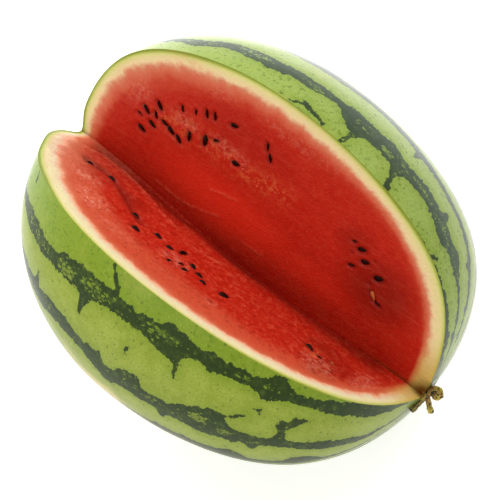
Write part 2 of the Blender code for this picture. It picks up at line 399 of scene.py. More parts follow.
def cutRow(latitude, cut):
    # a cut face at one station: flat from its rim on the skin, then rounding off into the crease
    rim = skinPoints(latitude, rimTurn(latitude, cut))
    fold, sag, up = foldAt(rim[0]), sagAt(rim[0]), wayUp(cut)
    lip = fold + crease["lipStart"] * sag * up
    corner = fold + crease["lipTurn"] * sag * up
    bottom = fold - sag * wayUp(rearCut)
    share = np.linspace(0, 1, melon["lipSteps"] + 1)[:, None]
    rounding = (1 - share) ** 2 * lip + 2 * share * (1 - share) * corner + share**2 * bottom
    path = np.vstack([rim[1:], rounding])
    travelled = np.concatenate([[0], np.cumsum(np.hypot(*np.diff(path, axis=0).T))])
    even = np.linspace(0, travelled[-1], melon["cutColumns"] + 1)
    y, z = (np.interp(even, travelled, path[:, axis]) for axis in (0, 1))
    return {
        "points": np.stack([np.full_like(y, rim[0]), y, z], axis=1),
        "up": (np.stack([y, z], axis=1) - fold) @ up / mm,
        "fromRim": even / mm,
        "fromCrease": (travelled[-1] - even) / mm,
    }


# The seeds, where the solids have them


def seedPlaces():
    places = []
    for name in sorted(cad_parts):
        if not name.startswith("seed_"):
            continue
        points = np.array([vertex.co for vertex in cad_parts[name].data.vertices])
        points = np.unique(np.round(points, 6), axis=0)
        gaps = np.linalg.norm(points[:, None] - points[None], axis=2)
        blunt, tip = np.unravel_index(gaps.argmax(), gaps.shape)
        middle = (points[blunt] + points[tip]) / 2
        along = (points[tip] - points[blunt]) / gaps.max()
        reach = (points - middle) @ along
        aside = points - middle - reach[:, None] * along
        width = np.linalg.norm(aside, axis=1)
        across = aside[width.argmax()] / width.max()
        if width[reach > 0.001].mean() > width[reach < -0.001].mean():
            along = -along
        cut = rearCut if "rear" in name else frontCut
        fold = foldAt(middle[0])
        places.append({
            "name": name,
            "middle": middle,
            "axes": np.stack([along, across, np.cross(along, across)], axis=1),
            "length": gaps.max(),
            "cut": cut["name"],
            "x": middle[0] / mm,
            "up": (middle[1:] - fold) @ wayUp(cut) / mm,
            "lies": np.array([along[0], along[1:] @ wayUp(cut)]),
            "outward": np.array([0, *wayOut(cut)]),
        })
    return places


seeds = seedPlaces()
print("seeds found:", len(seeds))

# What the knife and the tearing left on the two cut faces, and the light and shade painted on them:
# millimetres along the melon and millimetres up the cut from the fold
rearFace = {
    "heartEdge": [(-133, 0), (-118, 22), (-110, 36), (-102, 46), (-84, 62), (-54, 82), (-35, 90), (-10, 97),
                  (30, 99), (60, 97), (85, 92), (105, 85), (120, 75), (135, 60), (148, 34), (153, 10)],
    "pinkBand": [(-133, 1.3), (-50, 1.1), (20, 0.9), (80, 0.65), (150, 0.45)],
    "strings": [[(-68, 50), (-58, 54), (-46, 56), (-25, 56), (-8, 55), (12, 56), (28, 60)]],
    "stringWidth": 7.0,
    "tears": [[(-60, 5), (-44, 4), (-31, 5), (-19, 9), (-6, 14)], [(14, 9), (22, 9), (31, 10)],
              [(-20, 27), (-8, 31), (2, 33)]],
    "grooves": [],
    "crests": [],
    "deepLines": [],
    # painted light: the rear face made lighter near the crease, where it lies in shade
    "bright": [(-5, 22, 62, 20, 0.75), (60, 20, 40, 12, 0.4)],
    # painted shade over a deeper red: darker ovals where the rear face lies in shade
    "deep": [(110, 44, 30, 24, 0.48), (86, 62, 16, 14, 0.28), (-5, 76, 40, 16, 0.14)],
    "pits": [(-46, 60, 1.6), (-41, 57, 1.3), (-22, 66, 1.2), (-30, 60, 1.5), (-52, 58, 1.2), (-15, 60, 1.6),
             (0, 58, 1.3), (103, 44, 1.6), (100, 60, 1.0), (85, 55, 1.0)],
    "pale": [(-52, 60, 14, 6, 0.35), (-15, 62, 18, 6, 0.35), (-48, 96, 30, 8, 0.35), (-95, 60, 16, 14, 0.4),
             (30, 97, 40, 6, 0.2)],
    "rindWidth": [(-133, 16), (-110, 14), (-80, 10.5), (-50, 11), (-20, 9.7), (10, 9), (40, 9.6), (70, 8.7),
                  (100, 10.2), (125, 13.4), (136, 15.4), (144, 17.2), (149, 23), (155, 34)],
    "greenEdge": [(-133, 0.5), (-80, 0.8), (-50, 1.2), (-20, 0.6), (10, 0.2), (40, 0), (70, 0.3),
                  (100, 1.2), (125, 0.5), (145, -0.3), (155, -0.6)],
}
frontFace = {
    "heartEdge": [(-133, 0), (-112, 18), (-100, 29), (-80, 44), (-50, 66), (-20, 76), (0, 78), (40, 79),
                  (80, 77), (110, 66), (135, 52), (150, 14)],
    "pinkBand": [(-133, 2.2), (-105, 1.7), (-90, 1.3), (-40, 1.0), (60, 0.9), (150, 0.6)],
    "strings": [[(104, 47), (112, 55), (119, 64)]],
    "stringWidth": 7.0,
    "tears": [[(0, 37), (8, 36), (15, 34), (24, 31)], [(34, 27), (42, 26)], [(-108, 22), (-103, 25)]],
    "grooves": [[(-96, 31), (-92, 32), (-82, 29), (-74, 29), (-64, 33), (-55, 38), (-44, 45), (-36, 50),
                (-28, 54)]],
    "crests": [[(-107, 18), (-98, 13), (-89, 11.5), (-76, 12), (-62, 15), (-50, 18), (-38, 23), (-30, 26),
               (-20, 29)]],
    # painted shade along the crease, over a wetter, deeper red
    "deepLines": [[(-100, 4), (-70, 5), (-50, 6), (-20, 8), (10, 11), (40, 12), (75, 11), (100, 9),
                  (128, 8)]],
    "bright": [],
    # painted shade over a deeper red: darker ovals where the front face lies in shade
    "deep": [(-90, 32, 14, 8, 0.3), (-106, 22, 16, 22, 0.13), (-80, 34, 18, 22, 0.14),
             (-50, 36, 16, 8, 0.25), (108, 34, 16, 10, 0.3), (122, 44, 14, 16, 0.25),
             (118, 60, 12, 12, 0.2), (25, 14, 40, 9, 0.72)],
    "pits": [(109, 46, 2.0), (117, 66, 1.8), (122, 53, 1.6), (114, 52, 1.6), (106, 52, 1.3), (111, 60, 1.6),
             (119, 59, 1.3), (104, 57, 1.2), (3, 64, 1.4), (12, 73, 1.2), (-9, 70, 1.3), (47, 76, 1.2)],
    "pale": [(-60, 72, 18, 12, 0.8), (-84, 52, 20, 9, 0.8), (-100, 40, 12, 10, 0.8), (8, 66, 12, 8, 0.4),
             (114, 58, 12, 14, 0.5), (-30, 84, 20, 8, 0.3), (138, 40, 8, 20, 0.4), (46, 78, 6, 5, 0.4)],
    "rindWidth": [(-133, 36), (-124, 29), (-110, 21.5), (-80, 17.3), (-50, 12.9), (-20, 10.2), (10, 11),
                  (40, 10.7), (70, 11.4), (100, 12.4), (125, 12.6), (138, 15.0), (148, 21.0), (155, 28)],
    "greenEdge": [(-133, 0.8), (-110, 1.0), (-80, 1.6), (-50, -0.8), (-20, -0.8), (10, -1.1), (40, -1.0),
                  (70, -0.6), (100, 0.4), (125, 0.7), (145, -0.6), (155, -0.8)],
}
cutFinish = {
    "waviness": 0.35,  # all heights and widths in millimetres
    "tearHeight": 0.35,
    "tearWidth": 0.8,
    "grooveDepth": 1.3,
    "grooveWidth": 2.6,
    "grooveShade": 4.2,
    "crestHeight": 0.8,
    "crestWidth": 2.2,
    "ledgeDepth": 2.2,
    "pitDepth": 1.1,
    # round a seed: a depth or height, then its place and width in half seeds from the middle
    "socket": (0.8, 0.95, 0.5),
    "mound": (0.22, 1.9, 0.8),
    "seedShade": (0.9, 0.55),
    "seedBreadth": 0.55,
    "deepWidth": 11.0,
    "leastRind": 9.0,
    "sweepMiddle": 15,  # where the streaks of the flesh fan out from
    "seamWidth": 2.0,
    "ledgeEnds": (6, 14),  # how softly a ledge starts and how softly it ends
    # how strongly crests, grooves, seeds and pits colour the flesh: a painted highlight on the crests,
    # painted shade in the grooves, painted shade round the seeds over the flesh's own darker red there, and
    # darker in the pits
    "crestPale": 0.9,
    "grooveDark": 0.7,
    "seedDark": 0.6,
    "pitDark": 0.35,
    # fades: millimetres where each one starts and where it ends
    "ledgeFade": (0.5, 6.0),
    "reliefFromRim": (0.5, 5),
    "reliefFromCrease": (0.5, 6),
    "heartFade": (-11, 12),
    "grainFromRim": (1.5, 7),
    "grainFromCrease": (1, 7),
    "seamAtStem": (112, 142),
    "seamAtBlossom": (-131, -116),
}


def nearestPath(x, up, paths):
    # millimetres to the nearest of these lines
    best = np.full(x.shape, 1e3)
    for path in paths:
        for (x1, up1), (x2, up2) in zip(path, path[1:]):
            dx, du = x2 - x1, up2 - up1
            share = np.clip(((x - x1) * dx + (up - up1) * du) / (dx * dx + du * du), 0, 1)
            best = np.minimum(best, np.hypot(x - x1 - share * dx, up - up1 - share * du))
    return best


def ovalShare(x, up, ovals):
    # the strongest of some soft ovals: middle, half sizes and strength of each
    share = np.zeros_like(x)
    for middleX, middleUp, halfX, halfUp, strength in ovals:
        away = np.hypot((x - middleX) / halfX, (up - middleUp) / halfUp)
        share = np.maximum(share, strength * (1 - ramp(away, 0.3, 1.3)))
    return share


def readCut(cut, face, x, up, depth, fromRim, fromCrease):
    # what shows at each point of a cut face: how far it stands out, and masks for its colours
    relief = cutFinish["waviness"] * (np.sin(x / 19 + up / 47) * 0.6 + np.sin(x / 43 - up / 23 + 1.3) * 0.7)
    tear = bell(nearestPath(x, up, face["tears"]), cutFinish["tearWidth"])
    toGroove = nearestPath(x, up, face["grooves"])
    crest = bell(nearestPath(x, up, face["crests"]), cutFinish["crestWidth"])
    relief += tear * cutFinish["tearHeight"] + crest * cutFinish["crestHeight"]
    relief -= bell(toGroove, cutFinish["grooveWidth"]) * cutFinish["grooveDepth"]
    rise, fall = cutFinish["ledgeEnds"]
    for path in face["crests"]:
        line = np.interp(x, *zip(*path))
        start, finish = path[0][0], path[-1][0]
        within = ramp(x, start - rise, start + rise) * (1 - ramp(x, finish - fall, finish + fall))
        relief -= cutFinish["ledgeDepth"] * ramp(line - up, *cutFinish["ledgeFade"]) * within
    pits = np.zeros_like(x)
    for pitX, pitUp, radius in face["pits"]:
        pits = np.maximum(pits, bell(np.hypot(x - pitX, up - pitUp), radius))
    relief -= pits * cutFinish["pitDepth"]
    nearSeed = np.zeros_like(x)
    depthOf, socketAt, socketWidth = cutFinish["socket"]
    heightOf, moundAt, moundWidth = cutFinish["mound"]
    shadeAt, shadeWidth = cutFinish["seedShade"]
    for place in seeds:
        if place["cut"] != cut["name"]:
            continue
        half = place["length"] / mm / 2
        lies = place["lies"] / np.linalg.norm(place["lies"])
        dx, du = x - place["x"], up - place["up"]
        long, wide = dx * lies[0] + du * lies[1], du * lies[0] - dx * lies[1]
        away = np.hypot(long / half, wide / (half * cutFinish["seedBreadth"]))
        relief += heightOf * bell(away - moundAt, moundWidth) - depthOf * bell(away - socketAt, socketWidth)
        nearSeed = np.maximum(nearSeed, bell(np.maximum(away - shadeAt, 0), shadeWidth))
    relief *= ramp(fromRim, *cutFinish["reliefFromRim"]) * ramp(fromCrease, *cutFinish["reliefFromCrease"])

    # the depth under the skin at which the rind turns red, from its width along the cut
    band = np.interp(x, *zip(*face["pinkBand"]))
    widths = np.interp(x[:, 0], *zip(*face["rindWidth"]))
    rind = np.array([np.interp(width, far, deep) for width, far, deep in zip(widths, fromRim, depth)])
    rind = np.maximum(rind, cutFinish["leastRind"])
    grooveShade = bell(toGroove, cutFinish["grooveShade"])
    # painted shade along the crease and in the ovals, over a deeper red of the flesh
    creaseShadeLine = bell(nearestPath(x, up, face["deepLines"]), cutFinish["deepWidth"])
    creaseShadeLine = creaseShadeLine * (0.3 + 0.32 * ramp(fromCrease, 0.2, 4))
    heartLine = np.interp(x, *zip(*face["heartEdge"]))
    past = depth - rind[:, None]
    inner = ramp(fromRim, *cutFinish["grainFromRim"]) * ramp(fromCrease, *cutFinish["grainFromCrease"])
    atStem = ramp(x, *cutFinish["seamAtStem"])
    atBlossom = 0.8 - ramp(x, *cutFinish["seamAtBlossom"]) * 0.8
    # painted shade round the seeds, over the flesh's own darker red there; darker in the pits
    hollows = np.maximum(nearSeed * cutFinish["seedDark"], pits * cutFinish["pitDark"])
    return relief, {
        "fromSkin": depth - np.interp(x, *zip(*face["greenEdge"])),
        "pastRind": np.where(past > 0, past / band, past),
        "heart": ramp(heartLine - up, *cutFinish["heartFade"]),
        "pale": ovalShare(x, up, face["pale"]),
        "bright": ovalShare(x, up, face["bright"]),
        "strings": bell(nearestPath(x, up, face["strings"]), face["stringWidth"]),
        # paler lines: partly torn flesh, partly a painted highlight where the raised tears and crests catch
        # the light
        "tear": np.maximum(tear, crest * cutFinish["crestPale"]),
        # painted shade in the grooves and round the seeds; darker in the pits
        "dark": np.maximum(grooveShade * cutFinish["grooveDark"], hollows),
        "deep": np.maximum(creaseShadeLine, ovalShare(x, up, face["deep"])),
        "inner": inner,
        "seam": bell(fromCrease, cutFinish["seamWidth"]) * np.maximum(atStem, atBlossom),
    }


def shapeEnds(points):
    # a dent with a low collar round the stem, and a small scar where the blossom was
    fromStem = np.linalg.norm(points - stemBase(), axis=1) / mm
    points[:, 0] -= ends["stemDent"] * bell(fromStem, ends["stemDentWidth"]) * mm
    collar = bell(fromStem - ends["stemCollarRadius"], ends["stemCollarWidth"])
    points[:, 0] += ends["stemCollar"] * collar * mm
    fromBlossom = np.linalg.norm(points - blossomTip, axis=1) / mm
    scar = bell(fromBlossom - ends["blossomRadius"], ends["blossomWidth"])
    points[:, 0] += ends["blossomDent"] * scar * mm
    for middle, reach, move in ends["pushes"]:
        away = np.linalg.norm(points / mm - middle, axis=1)
        points += bell(away, reach)[:, None] * np.array(move) * mm
    return points


def readAll(items, name, width=1, kind=float):
    values = np.zeros(len(items) * width, kind)
    items.foreach_get(name, values)
    return values.reshape(-1, width) if width > 1 else values


def keepValues(mesh, name, values, kind="FLOAT", domain="POINT"):
    key = "vector" if kind == "FLOAT_VECTOR" else "value"
    mesh.attributes.new(name, kind, domain).data.foreach_set(key, values)


def skinRows(latitudes):
    # the skin from the rear cut round to the front one; the first and the last row close up
    around = np.linspace(0, 1, melon["skinColumns"] + 1)
    rows = []
    for latitude in latitudes:
        start = rimTurn(latitude, rearCut)
        finish = 2 * math.pi + rimTurn(latitude, frontCut)
        if latitude in (latitudes[0], latitudes[-1]):
            finish = start + 2 * math.pi
        rows.append(skinPoints(latitude, start + (finish - start) * around))
    return np.array(rows)


def uncutSkin():
    # finds the nearest point of the uncut skin, for the true depth under it
    steps = melon["depthSteps"]
    turns = np.linspace(0, 2 * math.pi, steps + 1)
    grid = [skinPoints(latitude, turns) for latitude in np.linspace(-math.pi / 2, math.pi / 2, steps + 1)]
    at = np.arange((steps + 1) ** 2).reshape(steps + 1, steps + 1)
    quads = np.stack([at[:-1, :-1], at[:-1, 1:], at[1:, 1:], at[1:, :-1]], axis=-1).reshape(-1, 4)
    return BVHTree.FromPolygons([Vector(point) for point in np.reshape(grid, (-1, 3))], quads.tolist())


def readFaces(latitudes):
    # the points of the two cut faces, moved by their relief, and the masks for their colours
    outside = uncutSkin()
    points, masks = {}, {}
    for side, cut, face in ((1.0, rearCut, rearFace), (2.0, frontCut, frontFace)):
        rows = [cutRow(latitude, cut) for latitude in latitudes]
        made = {key: np.array([row[key] for row in rows]) for key in rows[0]}
        place = made["points"]
        depth = np.array([outside.find_nearest(Vector(point))[3] for point in place.reshape(-1, 3)])
        depth = depth.reshape(place.shape[:2]) / mm
        x = place[..., 0] / mm
        relief, marks = readCut(cut, face, x, made["up"], depth, made["fromRim"], made["fromCrease"])
        place[..., 1:] += relief[..., None] * mm * wayOut(cut)
        marks["sweep"] = np.arctan2(made["up"], x - cutFinish["sweepMiddle"])
        marks["side"] = np.full_like(x, side)
        marks["onCut"] = np.ones_like(x)
        points[cut["name"]], masks[cut["name"]] = place, marks
    return points, masks


def ringsOf(skinPart, frontPart, rearPart):
    # one ring for each station: skin, front cut down to the crease, rear cut back up
    return np.concatenate([skinPart, frontPart[:, 1:], rearPart[:, -2:0:-1]], axis=1)


def inOrder(rings):
    # what belongs to each vertex, where the first and the last ring are skin only
    columns = melon["skinColumns"]
    return [*rings[0, :columns], *np.concatenate(rings[1:-1]), *rings[-1, :columns]]


def bandBetween(near, far):
    # the faces between two rings of vertex numbers, and whether they lie on a cut
    faces = []
    for j in range(len(near)):
        k = (j + 1) % len(near)
        corners = tuple(int(corner) for corner in dict.fromkeys((near[j], far[j], far[k], near[k])))
        if len(corners) > 2:
            faces.append((corners, j >= melon["skinColumns"]))
    return faces


def closeEnd(vertices, before, end, pole):
    # rings of skin from the end of the fold to the pole, and the faces between them
    columns = melon["skinColumns"]
    turns = rimTurn(end, rearCut) + 2 * math.pi * np.arange(columns) / columns
    faces = []
    for i in range(1, melon["endRings"]):
        ring = len(vertices) + np.arange(columns)
        vertices.extend(skinPoints(end + (pole - end) * i / melon["endRings"], turns))
        faces += bandBetween(ring, before) if pole < 0 else bandBetween(before, ring)
        before = ring
    tip = len(vertices)
    vertices.append(skinPoints(pole, 0.0))
    for pair in zip(before.tolist(), np.roll(before, -1).tolist()):
        faces.append(((*(pair if pole < 0 else pair[::-1]), tip), False))
    return faces


def buildMelonMesh():
    columns = melon["skinColumns"]
    latitudes = stationLatitudes(foldEnd(-1), foldEnd(1))
    skinPart = skinRows(latitudes)
    points, masks = readFaces(latitudes)
    rings = ringsOf(skinPart, points["front"], points["rear"])
    vertices = inOrder(rings)
    stations, width = rings.shape[:2]
    numbers = np.zeros((stations, width), int)
    numbers[1:-1] = columns + np.arange((stations - 2) * width).reshape(stations - 2, width)
    for row, start in ((0, 0), (-1, len(vertices) - columns)):
        numbers[row] = start
        numbers[row, :columns] = start + np.arange(columns)
    faces = [face for near, far in zip(numbers, numbers[1:]) for face in bandBetween(near, far)]
    for row, pole in ((0, -math.pi / 2), (-1, math.pi / 2)):
        faces += closeEnd(vertices, numbers[row, :columns], latitudes[row], pole)

    mesh = bpy.data.meshes.new("melon")
    vertices = shapeEnds(np.array(vertices))
    mesh.from_pydata([tuple(vertex) for vertex in vertices], [], [corners for corners, _ in faces])
    for key in masks["rear"]:
        front, rear = masks["front"][key], masks["rear"][key]
        onSkin = np.zeros(skinPart.shape[:2])
        if key != "onCut":
            onSkin[:, 0], onSkin[:, -1] = rear[:, 0], front[:, 0]
        values = inOrder(ringsOf(onSkin, front, rear))
        keepValues(mesh, key, np.array(values + [0.0] * (len(vertices) - len(values)), np.float32))
    keepValues(mesh, "cutFace", [onCut for _, onCut in faces], "BOOLEAN", "FACE")
    mesh.validate()
    return mesh


def signedVolume(mesh):
    mesh.calc_loop_triangles()
    corners = readAll(mesh.vertices, "co", 3)
    a, b, c = corners[readAll(mesh.loop_triangles, "vertices", 3, int)].transpose(1, 0, 2)
    return (a * np.cross(b, c)).sum() / 6


melonMesh = buildMelonMesh()
print("melon mesh:", len(melonMesh.polygons), "faces,", round(signedVolume(melonMesh) * 1000, 3), "litres")

# Geometry trees: every one ends in Realize Instances and Set Material


def geometryTree(name, inputs):
    inputs = [("Geometry", "Geometry", None), *inputs]
    return newGroup(name, inputs, ("Geometry", "Geometry"), "GeometryNodeTree")


def step(tree, kind, **values):
    return addNode("GeometryNode" + kind, values, tree)[0]


def storedValue(tree, name, kind="FLOAT"):
    return addNode("GeometryNodeInputNamedAttribute", {"Name": name}, tree, data_type=kind)[0]


def finished(tree, geometry, finish):
    geometry = step(tree, "RealizeInstances", Geometry=geometry)
    return step(tree, "SetMaterial", Geometry=geometry, Material=finish)


def showPiece(name, data):
    made = bpy.data.objects.new(name, data)
    bpy.context.scene.collection.objects.link(made)
    return made


def runTree(name, data, tree, **values):
    # runs a geometry tree on a mesh or a curve and keeps the result as a plain mesh object
    source = showPiece(name + "Source", data)
    modifier = source.modifiers.new("build", "NODES")
    modifier.node_group = tree
    for item in tree.interface.items_tree:
        if item.in_out == "INPUT" and item.name.replace(" ", "") in values:
            modifier[item.identifier] = values[item.name.replace(" ", "")]
    graph = bpy.context.evaluated_depsgraph_get()
    evaluated = source.evaluated_get(graph)
    mesh = bpy.data.meshes.new_from_object(evaluated, preserve_all_data_layers=True, depsgraph=graph)
    bpy.data.objects.remove(source)
    mesh.name = name
    return showPiece(name, mesh)


def noiseHeight(place, height, seed):
    # a noise from minus to plus this height
    return (grain(place, 1.0, 1.0, 0.5, seed) - 0.5) * 3.0 * height


def buildReliefTree():
    # low lumps on the skin, grain on the flesh, and a finish for each
    tree, given, made = geometryTree("melon relief", [
        ("Lump Size", "Float", 0.045), ("Lump Height", "Float", 0.0004),
        ("Grain Size", "Float", 0.005), ("Grain Height", "Float", 0.0002),
        ("Skin", "Material", None), ("Flesh", "Material", None),
    ])
    place, normal = step(tree, "InputPosition"), step(tree, "InputNormal")
    lump = vectorCalc("SCALE", place, 1.0 / given["Lump Size"])
    lumps = noiseHeight(lump, given["Lump Height"], 4.0) * (1.0 - storedValue(tree, "onCut"))
    bit = vectorCalc("SCALE", place, 1.0 / given["Grain Size"])
    coarse = noiseHeight(bit, given["Grain Height"], 7.0)
    fine = noiseHeight(vectorCalc("SCALE", bit, 2.1), given["Grain Height"], 9.0)
    height = lumps + (coarse + fine * 0.6) * storedValue(tree, "inner")
    offset = vectorCalc("SCALE", normal, height)
    moved = step(tree, "SetPosition", Geometry=given["Geometry"], Offset=offset)
    x, y, z = split(step(tree, "InputPosition"))
    moved = step(tree, "SetPosition", Geometry=moved, Position=join(x, y, calc("MAXIMUM", z, 0.0)))
    moved = finished(tree, moved, given["Skin"])
    cutFace = storedValue(tree, "cutFace", "BOOLEAN")
    wire(made, step(tree, "SetMaterial", Geometry=moved, Selection=cutFace, Material=given["Flesh"]))
    return tree


def smoothWithSharp(mesh, angle, slotBorders=False):
    # smooth shading, with sharp edges over this angle and, if asked for, where two finishes meet
    mesh.shade_smooth()
    mesh.set_sharp_from_angle(angle=math.radians(angle))
    if not slotBorders:
        return
    slots = readAll(mesh.polygons, "material_index", kind=int)
    corners = readAll(mesh.polygons, "loop_total", kind=int)
    loopEdges = readAll(mesh.loops, "edge_index", kind=int)
    onSecond = np.bincount(loopEdges, np.repeat(slots, corners), len(mesh.edges))
    layer = mesh.attributes["sharp_edge"].data
    layer.foreach_set("value", readAll(layer, "value", kind=bool) | (onSecond == 1))


# The skin: light green with dark stripes. Each stripe is drawn as its two edges, as pairs of
# millimetres along the melon and degrees round it from straight up towards +Y.

